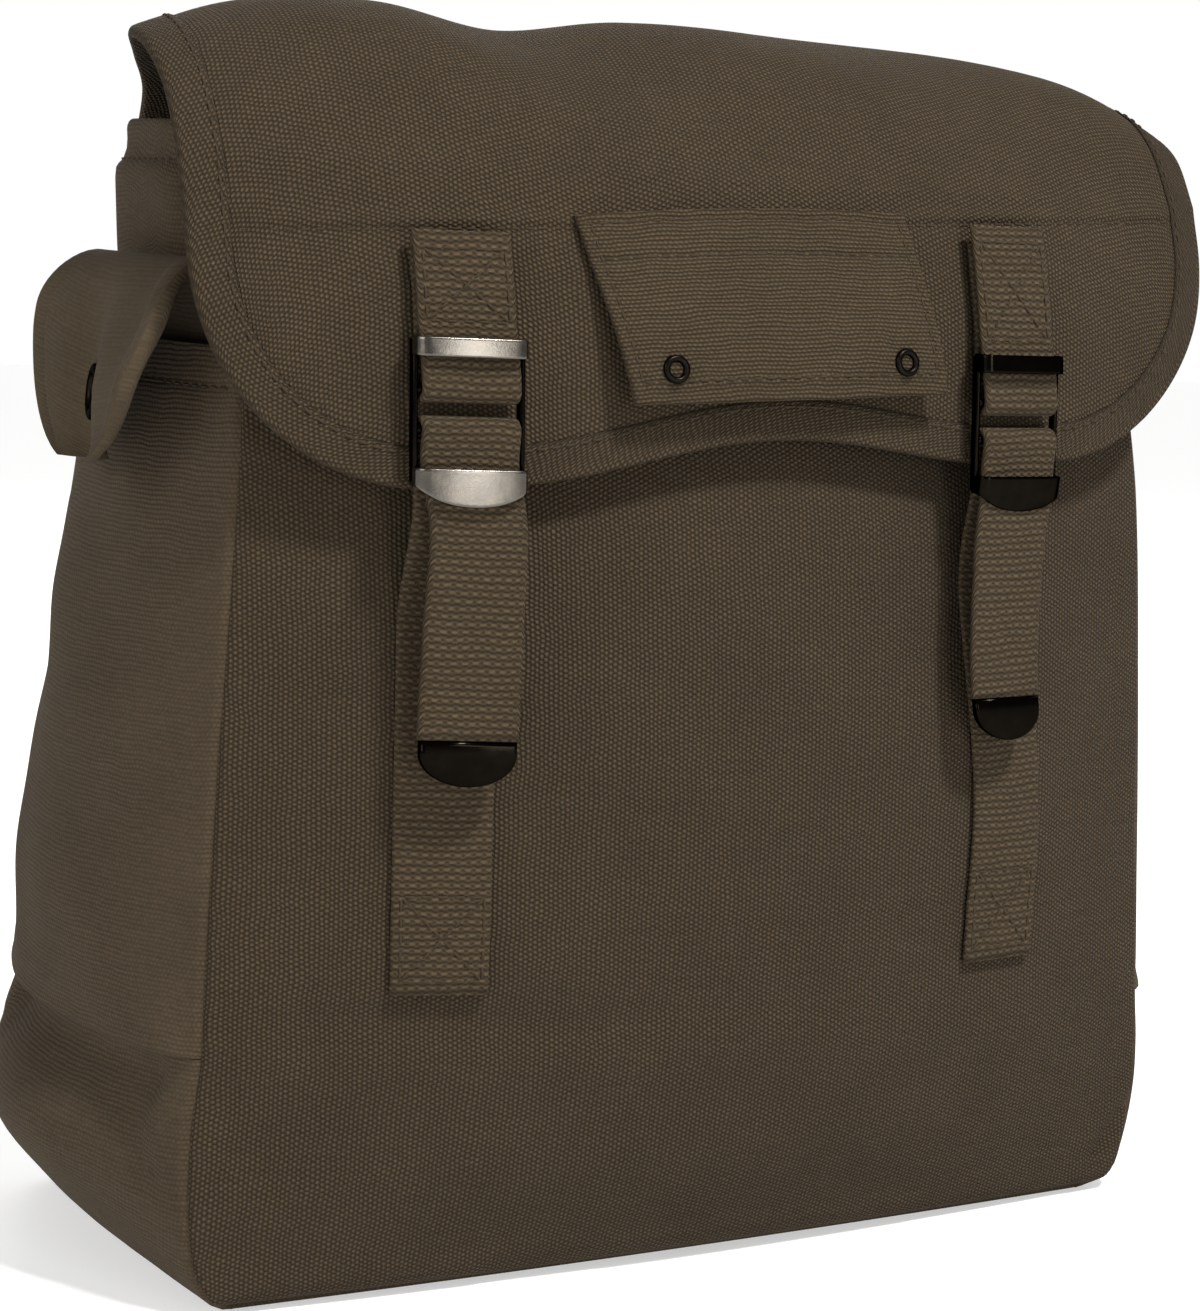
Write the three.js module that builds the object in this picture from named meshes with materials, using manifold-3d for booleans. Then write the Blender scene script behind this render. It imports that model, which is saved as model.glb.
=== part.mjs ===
// Canvas haversack, filled and standing, with its flap buckled down.
// Millimetres, +Z up. The front faces -Y, the left side of a viewer in front is -X.
import * as THREE from 'three';
import { mergeVertices } from 'three/addons/utils/BufferGeometryUtils.js';
import Module from 'manifold-3d';

const wasm = await Module();
wasm.setup();

// Body
const bodyWidth = 278;
const bodyDepth = 140;
const mouthHeight = 233;
const canvasThickness = 1.6;
const frontSwell = 25;
const sideSwell = 22;
const backSwell = 14;
const baseRise = 62;
const lean = -0.033;

// Throat collar
const collarUnderCrown = 31;
const collarTuck = 20;
const collarWidth = 272;
const collarDepth = 74;

// Ears that fold out over the gussets
const earLength = 92;
const earWidth = 72;
const earRootWidth = 50;
const earRootForward = 6;
const leftEarForward = 31;
const rightEarForward = 9;
const earCurl = 4.5;
const grommetRadius = 7;
const grommetBore = 4;
const grommetFromTip = 15;

// Flap
const flapSeamDrop = 11;
const flapShoulder = 278;
const flapWidth = 288;
const flapSeamWidth = 236;
const crownHeight = 317;
const flapStandOff = 3;
const flapReach = bodyDepth / 2 + frontSwell + flapStandOff;
const collarHeight = crownHeight - collarUnderCrown;
const flapLowEdge = 206.5;
const flapCornerRadius = 56;
const flapTilt = 0.05;
const archRise = 9;
const archWidth = 150;
const bindingWidth = 10;
const bindingThickness = 0.8;

// Tab with two eyelets
const tabWidth = 92;
const tabTopHeight = 270;
const tabTaper = 4;
const tabLength = 44;
const tabThickness = 2.6;
const tabSetLeft = 6.5;
const tabDrift = 8.5;
const tabStandOff = 5;
const tabBow = 1.5;
const tabSideRise = 2.2;
const eyeletFromSide = 12;
const eyeletRadius = 3.5;
const eyeletBore = 1.8;
const eyeletFromEdge = 8;

// Straps and buckles
const webWidth = 23.8;
const webThickness = 1.8;
const leftStrapPlace = -82.5;
const rightStrapPlace = 69.5;
const leftFootPlace = -83;
const rightFootPlace = 78;
const upperStrapTop = 267;
const lowerStrapFoot = 79;
const strapStraightFoot = 30;
const leftTailEnd = 143;
const rightTailEnd = 151;
const strapBridge = 34;
const buckleTop = 238.5;
const buckleHeight = 39.5;
const buckleWidth = 27;
const buckleThickness = 1.3;
const crossBar = 2.2;
const slotDrop = 17;
const slotHeight = 3;
const dPlateHeight = 9;
const topBarHeight = 4.6;
const tipWidth = 22.6;
const tailStandOff = 7;
const leftTailSlide = 3.5;
const rightTailSlide = -2;
const tipHeight = 11;
const tipThickness = 0.6;

// Clearances
const seamGap = 0.3;
const looseGap = 0.5;
const punchDepth = 14;
const bindingGap = 0.7;

const canvasColour = 0x534a3c;
const canvas = (colour = canvasColour) =>
  new THREE.MeshStandardMaterial({ color: colour, roughness: 0.95, metalness: 0 });
const webbing = () =>
  new THREE.MeshStandardMaterial({ color: 0x574d3e, roughness: 0.9, metalness: 0 });
const blackMetal = () =>
  new THREE.MeshStandardMaterial({ color: 0x1a1512, roughness: 0.35, metalness: 0.9 });

const mix = (a, b, t) => a + (b - a) * t;
const clamp01 = (t) => Math.min(1, Math.max(0, t));
const smooth = (t) => clamp01(t) ** 2 * (3 - 2 * clamp01(t));
const steps = (count, from = -1, to = 1) =>
  Array.from({ length: count + 1 }, (_, i) => mix(from, to, i / count));

// Reads one column of a table at a place along its first named column, as a smooth curve.
function readTable(rows, key, column, place) {
  const last = rows.length - 1;
  const at = Math.min(rows[last][key], Math.max(rows[0][key], place));
  let i = 0;
  while (i < last - 1 && at > rows[i + 1][key]) i += 1;
  const gap = rows[i + 1][key] - rows[i][key];
  const slope = (j) => {
    const before = rows[Math.max(0, j - 1)];
    const after = rows[Math.min(last, j + 1)];
    return (after[column] - before[column]) / (after[key] - before[key]);
  };
  const t = (at - rows[i][key]) / gap;
  const start = rows[i][column];
  const rise = rows[i + 1][column] - start;
  const a = slope(i) * gap - rise;
  const b = rise - slope(i + 1) * gap;
  return start + rise * t + t * (1 - t) * (a * (1 - t) + b * t);
}

// The filled bag leans: what is above the base sinks toward the right.
function settle(point) {
  point.z += lean * point.x * smooth(point.z / baseRise);
  return point;
}

// Sections of the body. up is a share of mouthHeight, wide of half bodyWidth, front and back of
// half bodyDepth, and the swells are shares of the named swells.
const bodyRows = [
  { up: 0.0, wide: 0.925, front: 0.88, back: 0.82, frontSwell: 0.12, sideSwell: 0.0, backSwell: 0.15 },
  { up: 0.017, wide: 0.965, front: 0.94, back: 0.9, frontSwell: 0.25, sideSwell: 0.12, backSwell: 0.25 },
  { up: 0.052, wide: 0.996, front: 0.93, back: 0.96, frontSwell: 0.45, sideSwell: 0.4, backSwell: 0.4 },
  { up: 0.13, wide: 1.01, front: 0.95, back: 1.0, frontSwell: 0.75, sideSwell: 0.9, backSwell: 0.7 },
  { up: 0.2, wide: 1.006, front: 0.965, back: 0.99, frontSwell: 0.9, sideSwell: 1.04, backSwell: 0.9 },
  { up: 0.266, wide: 0.993, front: 0.986, back: 0.97, frontSwell: 1.0, sideSwell: 0.72, backSwell: 1.0 },
  { up: 0.31, wide: 0.99, front: 0.986, back: 0.95, frontSwell: 1.0, sideSwell: 0.88, backSwell: 1.0 },
  { up: 0.43, wide: 0.98, front: 0.986, back: 0.886, frontSwell: 1.1, sideSwell: 0.95, backSwell: 1.0 },
  { up: 0.64, wide: 0.96, front: 1.0, back: 0.77, frontSwell: 1.1, sideSwell: 0.8, backSwell: 0.9 },
  { up: 0.86, wide: 0.935, front: 1.0, back: 0.657, frontSwell: 0.9, sideSwell: 0.6, backSwell: 0.7 },
  { up: 1.0, wide: 0.914, front: 0.95, back: 0.58, frontSwell: 0.67, sideSwell: 0.5, backSwell: 0.5 },
];

function bodySection(z) {
  const read = (column) => readTable(bodyRows, 'up', column, z / mouthHeight);
  return {
    halfWidth: read('wide') * bodyWidth / 2,
    front: -read('front') * bodyDepth / 2,
    back: read('back') * bodyDepth / 2,
    frontSwell: read('frontSwell') * frontSwell,
    sideSwell: read('sideSwell') * sideSwell,
    backSwell: read('backSwell') * backSwell,
  };
}

function frontY(x, z) {
  const s = bodySection(z);
  return s.front - s.frontSwell * (1 - Math.min(1, Math.abs(x) / s.halfWidth) ** 2);
}

function frontPoint(u, z, inset) {
  const s = bodySection(z);
  const y = s.front + inset - s.frontSwell * (1 - u * u);
  return new THREE.Vector3(u * (s.halfWidth - inset), y, z);
}

function backPoint(u, z, inset) {
  const s = bodySection(z);
  const y = s.back - inset + s.backSwell * (1 - u * u);
  return new THREE.Vector3(u * (s.halfWidth - inset), y, z);
}

function sideX(y, z, inset) {
  const s = bodySection(z);
  const v = (2 * y - s.front - s.back) / (s.back - s.front - 2 * inset);
  return s.halfWidth - inset + s.sideSwell * Math.max(0, 1 - v * v);
}

function sidePoint(side, v, z, inset) {
  const s = bodySection(z);
  const x = side * (s.halfWidth - inset + s.sideSwell * (1 - v * v));
  return new THREE.Vector3(x, mix(s.front + inset, s.back - inset, (v + 1) / 2), z);
}

// A closed solid between two grids of points. A ring joins its last column to its first.
function sheetSolid(outer, inner, ring = false) {
  const rows = outer.length;
  const columns = outer[0].length;
  const positions = [];
  for (const grid of [outer, inner]) {
    for (const row of grid) {
      for (const p of row) positions.push(...settle(p.clone()).toArray());
    }
  }
  const half = rows * columns;
  const at = (side, i, j) => side * half + i * columns + (j % columns);
  const index = [];
  const quad = (a, b, c, d) => index.push(a, b, c, a, c, d);
  const across = ring ? columns : columns - 1;
  for (let i = 0; i < rows - 1; i += 1) {
    for (let j = 0; j < across; j += 1) {
      quad(at(0, i, j), at(0, i, j + 1), at(0, i + 1, j + 1), at(0, i + 1, j));
      quad(at(1, i, j), at(1, i + 1, j), at(1, i + 1, j + 1), at(1, i, j + 1));
    }
  }
  for (let j = 0; j < across; j += 1) {
    quad(at(1, 0, j), at(1, 0, j + 1), at(0, 0, j + 1), at(0, 0, j));
    quad(at(0, rows - 1, j), at(0, rows - 1, j + 1), at(1, rows - 1, j + 1), at(1, rows - 1, j));
  }
  for (let i = 0; i < rows - 1 && !ring; i += 1) {
    quad(at(0, i, 0), at(0, i + 1, 0), at(1, i + 1, 0), at(1, i, 0));
    const last = columns - 1;
    quad(at(1, i, last), at(1, i + 1, last), at(0, i + 1, last), at(0, i, last));
  }
  return facingOut(positions, index);
}

function facingOut(positions, index) {
  const geometry = new THREE.BufferGeometry();
  geometry.setAttribute('position', new THREE.Float32BufferAttribute(positions, 3));
  let volume = 0;
  const corner = (k) => new THREE.Vector3().fromArray(positions, 3 * index[k]);
  for (let k = 0; k < index.length; k += 3) {
    volume += corner(k).dot(corner(k + 1).cross(corner(k + 2)));
  }
  const order = volume < 0 ? index.slice().reverse() : index;
  geometry.setIndex(order);
  geometry.computeVertexNormals();
  return geometry;
}

const grid = (rowPlaces, columnPlaces, point) =>
  rowPlaces.map((r) => columnPlaces.map((c) => point(r, c)));

function solidOf(geometry) {
  const bare = geometry.clone();
  bare.deleteAttribute('normal');
  bare.deleteAttribute('uv');
  const merged = mergeVertices(bare, 1e-4);
  return new wasm.Manifold(new wasm.Mesh({
    numProp: 3,
    vertProperties: new Float32Array(merged.attributes.position.array),
    triVerts: new Uint32Array(merged.index.array),
  }));
}

function geometryOf(solid) {
  const mesh = solid.getMesh();
  const geometry = new THREE.BufferGeometry();
  geometry.setAttribute('position', new THREE.Float32BufferAttribute(mesh.vertProperties, 3));
  geometry.setIndex(Array.from(mesh.triVerts));
  geometry.computeVertexNormals();
  return geometry;
}

// Moves every corner of a geometry by a function of its own coordinates.
function reshape(geometry, place) {
  const position = geometry.attributes.position;
  const corner = new THREE.Vector3();
  for (let i = 0; i < position.count; i += 1) {
    const p = place(corner.fromBufferAttribute(position, i));
    position.setXYZ(i, p.x, p.y, p.z);
  }
  geometry.computeVertexNormals();
  return geometry;
}

const bag = new THREE.Group();

function addPiece(name, geometry, material) {
  const mesh = new THREE.Mesh(geometry, material);
  mesh.name = name;
  bag.add(mesh);
}

// Base panel: a flat floor that turns up both sides as far as the gusset seams.
function basePanel() {
  const v = steps(8, -1, 1).map((value) => value * (1 - seamGap / bodyDepth * 2));
  const riser = [1, 0.84, 0.66, 0.5, 0.34, 0.18, 0.08, 0].map((share) => share * (baseRise - seamGap));
  const floor = steps(8).slice(1, -1);
  const floorPoint = (u, value, inset) => {
    const s = bodySection(0);
    const near = s.front - s.frontSwell * (1 - u * u);
    const far = s.back + s.backSwell * (1 - u * u);
    const x = u * (s.halfWidth + s.sideSwell * (1 - value * value));
    return new THREE.Vector3(x, mix(near, far, (value + 1) / 2), inset);
  };
  const rows = (inset) => {
    const lift = (z) => Math.max(z, inset);
    const left = grid(riser, v, (z, value) => sidePoint(-1, value, lift(z), inset));
    const middle = grid(floor, v, (u, value) => floorPoint(u, value, inset));
    const right = grid(riser.slice().reverse(), v, (z, value) => sidePoint(1, value, lift(z), inset));
    return [...left, ...middle, ...right];
  };
  return sheetSolid(rows(0), rows(canvasThickness));
}

function wallPanel(point) {
  const bottom = canvasThickness + seamGap;
  const heights = [0, 0.02, 0.045, 0.09, 0.16, 0.24, 0.33, 0.44, 0.56, 0.68, 0.79, 0.9, 1]
    .map((share) => mix(bottom, mouthHeight, share));
  const u = steps(12).map((value) => value * (1 - 2 * seamGap / bodyWidth));
  const rows = (inset) => grid(heights, u, (z, value) => point(value, z, inset));
  return sheetSolid(rows(0), rows(canvasThickness));
}

function gusset(side) {
  const heights = [0, 0.03, 0.09, 0.19, 0.32, 0.46, 0.6, 0.74, 0.87, 1]
    .map((share) => mix(baseRise, mouthHeight, share));
  const v = steps(10).map((value) => value * (1 - seamGap / bodyDepth * 2.4));
  const rows = (inset) => grid(heights, v, (z, value) => sidePoint(side, value, z, inset));
  return sheetSolid(rows(0), rows(canvasThickness));
}

addPiece('base_panel', basePanel(), canvas());
addPiece('front_panel', wallPanel(frontPoint), canvas());
addPiece('back_panel', wallPanel(backPoint), canvas());
addPiece('left_gusset', gusset(-1), canvas(0x4d4436));
addPiece('right_gusset', gusset(1), canvas(0x4d4436));

// Throat collar: it follows the mouth from inside, then closes to a rounded ring above it.
const earInset = canvasThickness + looseGap;
const collarInset = earInset + canvasThickness + seamGap;

// The ring above the mouth. up is a share of the height of the collar over the mouth, wide of
// half collarWidth, front and back of collarDepth.
const collarRows = [
  { up: 0.0, wide: 0.98, front: 0.93, back: 0.43 },
  { up: 0.4, wide: 0.985, front: 0.84, back: 0.42 },
  { up: 0.75, wide: 1.0, front: 0.72, back: 0.375 },
  { up: 0.86, wide: 0.98, front: 0.68, back: 0.34 },
  { up: 1.0, wide: 0.97, front: 0.64, back: 0.32 },
];

function collarPoint(turn, z, inset) {
  const quarter = Math.floor(turn * 4) % 4;
  const along = 2 * (turn * 4 - quarter) - 1;
  const low = Math.min(z, mouthHeight);
  const makers = [
    () => frontPoint(along, low, collarInset + inset),
    () => sidePoint(1, along, low, collarInset + inset),
    () => backPoint(-along, low, collarInset + inset),
    () => sidePoint(-1, -along, low, collarInset + inset),
  ];
  const mouth = makers[quarter]();
  const up = (z - mouthHeight) / (collarHeight - mouthHeight);
  const wide = readTable(collarRows, 'up', 'wide', up) * collarWidth / 2 - inset;
  const front = -readTable(collarRows, 'up', 'front', up) * collarDepth + inset;
  const back = readTable(collarRows, 'up', 'back', up) * collarDepth - inset;
  const centre = (front + back) / 2;
  const angle = Math.atan2((mouth.y - centre) / (back - front) * 2, mouth.x / wide);
  const round = (value) => Math.sign(value) * Math.abs(value) ** 0.52;
  const ring = new THREE.Vector3(wide * round(Math.cos(angle)), 0, z);
  ring.y = centre + (back - front) / 2 * round(Math.sin(angle));
  const weight = smooth((up + 0.02) / 0.35);
  return new THREE.Vector3(mix(mouth.x, ring.x, weight), mix(mouth.y, ring.y, weight), z);
}

function throatCollar() {
  const heights = [mouthHeight - collarTuck, mouthHeight - 1];
  for (const share of [0.12, 0.3, 0.5, 0.75, 0.86, 1]) {
    heights.push(mix(mouthHeight, collarHeight, share));
  }
  const turns = steps(28, 0, 1).slice(0, -1);
  const rows = (inset) => grid(heights, turns, (z, turn) => collarPoint(turn, z, inset));
  return sheetSolid(rows(0), rows(canvasThickness), true);
}

addPiece('throat_collar', throatCollar(), canvas(0x4a4135));

// Ears. along is a share of earLength from the tucked root; out and up are shares of it too,
// measured from the gusset's inner face at the mouth.
const earRows = [
  { along: 0.0, out: 0.0, up: -0.17 },
  { along: 0.16, out: 0.0, up: -0.01 },
  { along: 0.28, out: 0.012, up: 0.11 },
  { along: 0.38, out: 0.035, up: 0.185 },
  { along: 0.46, out: 0.09, up: 0.205 },
  { along: 0.55, out: 0.135, up: 0.155 },
  { along: 0.68, out: 0.15, up: 0.03 },
  { along: 0.84, out: 0.155, up: -0.15 },
  { along: 1.0, out: 0.16, up: -0.335 },
];
const earRound = 0.52;

function earPoint(side, along, across, depth) {
  const forward = side < 0 ? leftEarForward : rightEarForward;
  const taper = clamp01((along - earRound) / (1.004 - earRound));
  const spread = smooth((along - 0.42) / 0.3);
  const width = mix(earRootWidth, earWidth, spread);
  const y = -forward - mix(earRootForward, 0, spread) + across * width / 2 * (1 - taper ** 2.6) ** (1 / 2.4);
  const read = (column, place) => readTable(earRows, 'along', column, place) * earLength;
  const nudge = 0.01;
  const fall = read('up', along + nudge) - read('up', along - nudge);
  const run = read('out', along + nudge) - read('out', along - nudge);
  const length = Math.hypot(fall, run);
  const curl = earCurl * smooth((along - 0.4) / 0.25) * Math.abs(across) ** 3;
  const out = read('out', along) + curl - depth * fall / length;
  const z = mouthHeight + read('up', along) + depth * run / length;
  const tucked = along < 0.2 ? Math.min(z, mouthHeight) : mouthHeight;
  return new THREE.Vector3(side * (sideX(y, tucked, earInset) + out), y, z);
}

const grommetAlong = 1 - grommetFromTip / earLength;

// A frame on a sheet: its x along the sheet, its y through it and its z up it.
function sheetFrame(centre, higher, beside) {
  const up = higher.clone().sub(centre).normalize();
  const through = new THREE.Vector3().crossVectors(up, beside.clone().sub(centre)).normalize();
  const level = new THREE.Vector3().crossVectors(through, up);
  return new THREE.Matrix4().makeBasis(level, through, up).setPosition(centre);
}

function earFrame(side) {
  const middle = (along, across) => earPoint(side, along, across, canvasThickness / 2);
  return sheetFrame(middle(grommetAlong, 0), middle(grommetAlong - 0.05, 0), middle(grommetAlong, 0.15));
}

function ear(side) {
  const along = [0, 0.16, 0.28, 0.34, 0.39, 0.435, 0.48, 0.53, 0.59, 0.66, 0.75, 0.84, 0.91, 0.96, 0.99];
  const across = steps(8);
  const rows = (depth) => grid(along, across, (a, c) => earPoint(side, a, c, depth));
  const sheet = sheetSolid(rows(0), rows(canvasThickness));
  const radius = grommetBore + 2 * seamGap;
  const hole = new THREE.CylinderGeometry(radius, radius, punchDepth, 16);
  hole.applyMatrix4(earFrame(side));
  reshape(hole, settle);
  return geometryOf(solidOf(sheet).subtract(solidOf(hole)));
}

// A ring eyelet: a barrel through the cloth with a flange on each face.
function eyelet(bore, radius, cloth, frame) {
  const barrel = bore + seamGap;
  const inside = cloth / 2 + looseGap;
  const outside = inside + 0.7;
  const profile = [
    [bore, -outside], [radius, -outside], [radius, -inside], [barrel, -inside],
    [barrel, inside], [radius, inside], [radius, outside], [bore, outside], [bore, -outside],
  ].map(([r, h]) => new THREE.Vector2(r, h));
  const ring = new THREE.LatheGeometry(profile, 12);
  ring.deleteAttribute('normal');
  ring.deleteAttribute('uv');
  const closed = mergeVertices(ring, 1e-4);
  closed.applyMatrix4(frame);
  return reshape(closed, settle);
}

for (const [name, side] of [['left', -1], ['right', 1]]) {
  addPiece(`${name}_ear`, ear(side), canvas(0x493f32));
  const ring = eyelet(grommetBore, grommetRadius, canvasThickness, earFrame(side));
  addPiece(`${name}_ear_grommet`, ring, blackMetal());
}

// Flap over the top, from its seam on the back panel to the shoulder above the front. up is a
// share of crownHeight, middle and edge of flapReach, wide runs from the seam's width to the
// flap's own.
const flapSeamHeight = mouthHeight - flapSeamDrop;
const flapRows = [
  { along: 0.0, midUp: 0.0, middle: 0.0, edgeUp: 0.0, edge: 0.0, wide: 0.0 },
  { along: 0.14, midUp: 0.3, middle: 0.02, edgeUp: 0.3, edge: 0.02, wide: 0.0 },
  { along: 0.3, midUp: 0.62, middle: 0.11, edgeUp: 0.6, edge: 0.085, wide: 0.0 },
  { along: 0.44, midUp: 0.865, middle: 0.28, edgeUp: 0.75, edge: 0.24, wide: 0.16 },
  { along: 0.56, midUp: 0.98, middle: 0.47, edgeUp: 0.83, edge: 0.44, wide: 0.56 },
  { along: 0.68, midUp: 1.0, middle: 0.65, edgeUp: 0.87, edge: 0.62, wide: 0.88 },
  { along: 0.8, midUp: 0.92, middle: 0.81, edgeUp: 0.84, edge: 0.8, wide: 1.0 },
  { along: 0.9, midUp: 0.78, middle: 0.92, edgeUp: 0.745, edge: 0.92, wide: 1.0 },
  { along: 1.0, midUp: 0.59, middle: 1.0, edgeUp: 0.59, edge: 1.0, wide: 1.0 },
];

// Lift of the crown across the flap, as shares of half flapWidth and of archRise.
const crownDents = [
  { across: -1, lift: 0.2 },
  { across: -0.8, lift: 0.8 },
  { across: -0.58, lift: 0.5 },
  { across: -0.34, lift: -0.38 },
  { across: -0.1, lift: -0.05 },
  { across: 0.4, lift: 0.05 },
  { across: 0.75, lift: 0.3 },
  { across: 0.9, lift: 0.1 },
  { across: 1, lift: -0.7 },
];

// Face of the flap below the shoulder. down is a share of the drop from the shoulder to
// flapLowEdge, middle and edge are shares of flapReach.
const flapFaceRows = [
  { down: -0.1, middle: 0.875, edge: 0.7 },
  { down: 0.0, middle: 0.898, edge: 0.709 },
  { down: 0.22, middle: 0.949, edge: 0.755 },
  { down: 0.46, middle: 0.99, edge: 0.796 },
  { down: 0.74, middle: 1.005, edge: 0.81 },
  { down: 1.1, middle: 1.01, edge: 0.81 },
];

function flapFaceY(x, z) {
  const down = (flapShoulder - z) / (flapShoulder - flapLowEdge);
  const bow = (Math.abs(x) / (flapWidth / 2)) ** 2;
  const middle = readTable(flapFaceRows, 'down', 'middle', down);
  const edge = readTable(flapFaceRows, 'down', 'edge', down);
  return -flapReach * mix(middle, edge, bow);
}

function flapFacePoint(x, z, depth) {
  return new THREE.Vector3(x, flapFaceY(x, z) + depth, z);
}

function flapTopPoint(x, along, depth) {
  const read = (column, place) => readTable(flapRows, 'along', column, place);
  const seat = (value, place) => {
    const half = mix(flapSeamWidth, flapWidth, read('wide', place)) / 2;
    const u = value / half;
    const bow = Math.min(1, Math.abs(u)) ** 2;
    const seam = backPoint(0, flapSeamHeight, 0).y + canvasThickness + seamGap;
    const seamEdge = seam - bodySection(flapSeamHeight).backSwell * (flapSeamWidth / bodyWidth) ** 2;
    const middle = mix(seam, flapFaceY(0, flapShoulder), read('middle', place));
    const edge = mix(seamEdge, flapFaceY(flapWidth / 2, flapShoulder), read('edge', place));
    const lift = readTable(crownDents, 'across', 'lift', u) * archRise * read('midUp', place) ** 3;
    const climb = mix(read('midUp', place), read('edgeUp', place), bow);
    const z = mix(flapSeamHeight, crownHeight, climb) + lift * smooth((1 - place) / 0.2);
    return new THREE.Vector2(mix(middle, edge, bow), z);
  };
  const here = seat(x, along);
  const nudge = 0.01;
  const run = seat(x, Math.min(1, along + nudge)).sub(seat(x, Math.max(0, along - nudge))).normalize();
  return new THREE.Vector3(x, here.x + depth * run.y * -1, here.y + depth * run.x);
}

function flapHalfWidth(along) {
  return mix(flapSeamWidth, flapWidth, readTable(flapRows, 'along', 'wide', along)) / 2;
}

// Lower outline of the flap: a shallow arch between the straps and a round corner at each side.
function flapLow(x, inset) {
  const arch = Math.abs(x) < archWidth / 2 ? archRise * Math.cos(Math.PI * x / archWidth) ** 2 : 0;
  const half = flapWidth / 2 - inset;
  const radius = flapCornerRadius - inset;
  const past = Math.min(radius, Math.max(0, Math.abs(x) - (half - radius)));
  const corner = radius - Math.sqrt(radius * radius - past * past);
  return flapLowEdge + inset + flapTilt * x + arch + corner;
}

const bindingInset = bindingThickness + seamGap;
const sewnToBack = 0.1;
const topPlaces = [0, 0.12, 0.22, 0.31, 0.39, 0.46, 0.53, 0.6, 0.67, 0.74, 0.8, 0.86, 0.93];

function mainFlap() {
  const half = [0.09, 0.19, 0.29, 0.39, 0.5, 0.64, 0.77, 0.87, 0.935, 0.975, 1];
  const u = [...half.map((share) => -share).reverse(), 0, ...half];
  const face = [0, 0.12, 0.24, 0.36, 0.49, 0.62, 0.75, 0.88, 1];
  const rows = (depth) => {
    const top = grid(topPlaces, u, (along, value) =>
      flapTopPoint(value * (flapHalfWidth(along) - bindingInset), along, depth));
    const low = grid(face, u, (share, value) => {
      const x = value * (flapWidth / 2 - bindingInset);
      return flapFacePoint(x, mix(flapShoulder, flapLow(x, bindingInset), share), depth);
    });
    return [...top, ...low];
  };
  return sheetSolid(rows(0), rows(canvasThickness));
}

// The binding's path: up the left edge, round the lower outline and back up the right edge. Each
// stop gives the flap's point at a distance in from the edge and a depth through the cloth.
function bindingStops() {
  const edge = (side, along) => (inward, depth) =>
    flapTopPoint(side * (flapHalfWidth(along) - inward), along, depth);
  const half = flapWidth / 2;
  const straight = half - flapCornerRadius;
  const outline = [];
  for (const angle of steps(9, 0, Math.PI / 2)) {
    outline.push({ x: -straight - flapCornerRadius * Math.cos(angle), lean: angle });
  }
  for (const x of steps(14, -straight, straight).slice(1, -1)) {
    outline.push({ x, lean: Math.PI / 2 });
  }
  for (const angle of steps(9, Math.PI / 2, Math.PI)) {
    outline.push({ x: straight - flapCornerRadius * Math.cos(angle), lean: angle });
  }
  const low = outline.map(({ x, lean: angle }) => (inward, depth) => flapFacePoint(
    x + Math.cos(angle) * inward,
    flapLow(x, 0) + Math.sin(angle) * inward,
    depth,
  ));
  const drop = (side, share) => (inward, depth) =>
    flapFacePoint(side * (half - inward), mix(flapShoulder, flapLow(side * half, 0), share), depth);
  const free = topPlaces.filter((along) => along > sewnToBack);
  const drops = [0, 0.35, 0.7];
  const left = [...free.map((along) => edge(-1, along)), ...drops.map((share) => drop(-1, share))];
  const right = [...free.map((along) => edge(1, along)), ...drops.map((share) => drop(1, share))];
  return [...left, ...low, ...right.reverse()];
}

function flapBinding() {
  const over = -(bindingGap + bindingThickness);
  const under = canvasThickness - over;
  const profile = [
    [bindingWidth, over], [0, over], [0, under], [bindingWidth, under],
  ];
  const slot = [
    [bindingWidth, -bindingGap], [bindingThickness, -bindingGap],
    [bindingThickness, canvasThickness + bindingGap], [bindingWidth, canvasThickness + bindingGap],
  ];
  const stops = bindingStops();
  const rows = (points) => stops.map((stop) => points.map(([inward, depth]) => stop(inward, depth)));
  return sheetSolid(rows(profile), rows(slot));
}

addPiece('main_flap', mainFlap(), canvas(0x5a4f3e));
addPiece('flap_binding', flapBinding(), canvas(0x544a3b));

// Tab: doubled cloth that hangs from the seam across the flap and stands off it below.
function tabPoint(across, down, depth) {
  const x = -tabSetLeft + tabDrift * down + across * (tabWidth - tabTaper * down) / 2;
  const sag = tabBow * (1 - across * across) * (1 - down) + tabSideRise * across;
  const z = tabTopHeight - tabLength * down + sag;
  const off = seamGap + tabThickness + tabStandOff * smooth(down * 1.1);
  return new THREE.Vector3(x, flapFaceY(x, z) - off + depth, z);
}

function eyeletFrame(side) {
  const down = 1 - eyeletFromEdge / tabLength;
  const across = side * (1 - 2 * eyeletFromSide / (tabWidth - tabTaper));
  const middle = (a, d) => tabPoint(a, d, tabThickness / 2);
  return sheetFrame(middle(across, down), middle(across, down - 0.06), middle(across + 0.06, down));
}

function eyeletTab() {
  const rows = (depth) => grid(steps(7, 0, 1), steps(10), (down, across) => tabPoint(across, down, depth));
  let sheet = solidOf(sheetSolid(rows(0), rows(tabThickness)));
  for (const side of [-1, 1]) {
    const radius = eyeletBore + 2 * seamGap;
    const hole = new THREE.CylinderGeometry(radius, radius, punchDepth, 14).applyMatrix4(eyeletFrame(side));
    sheet = sheet.subtract(solidOf(reshape(hole, settle)));
  }
  return geometryOf(sheet);
}

addPiece('eyelet_tab', eyeletTab(), canvas(0x5c5141));
for (const [name, side] of [['left', -1], ['right', 1]]) {
  const ring = eyelet(eyeletBore, eyeletRadius, tabThickness, eyeletFrame(side));
  addPiece(`tab_eyelet_${name}`, ring, blackMetal());
}

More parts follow.
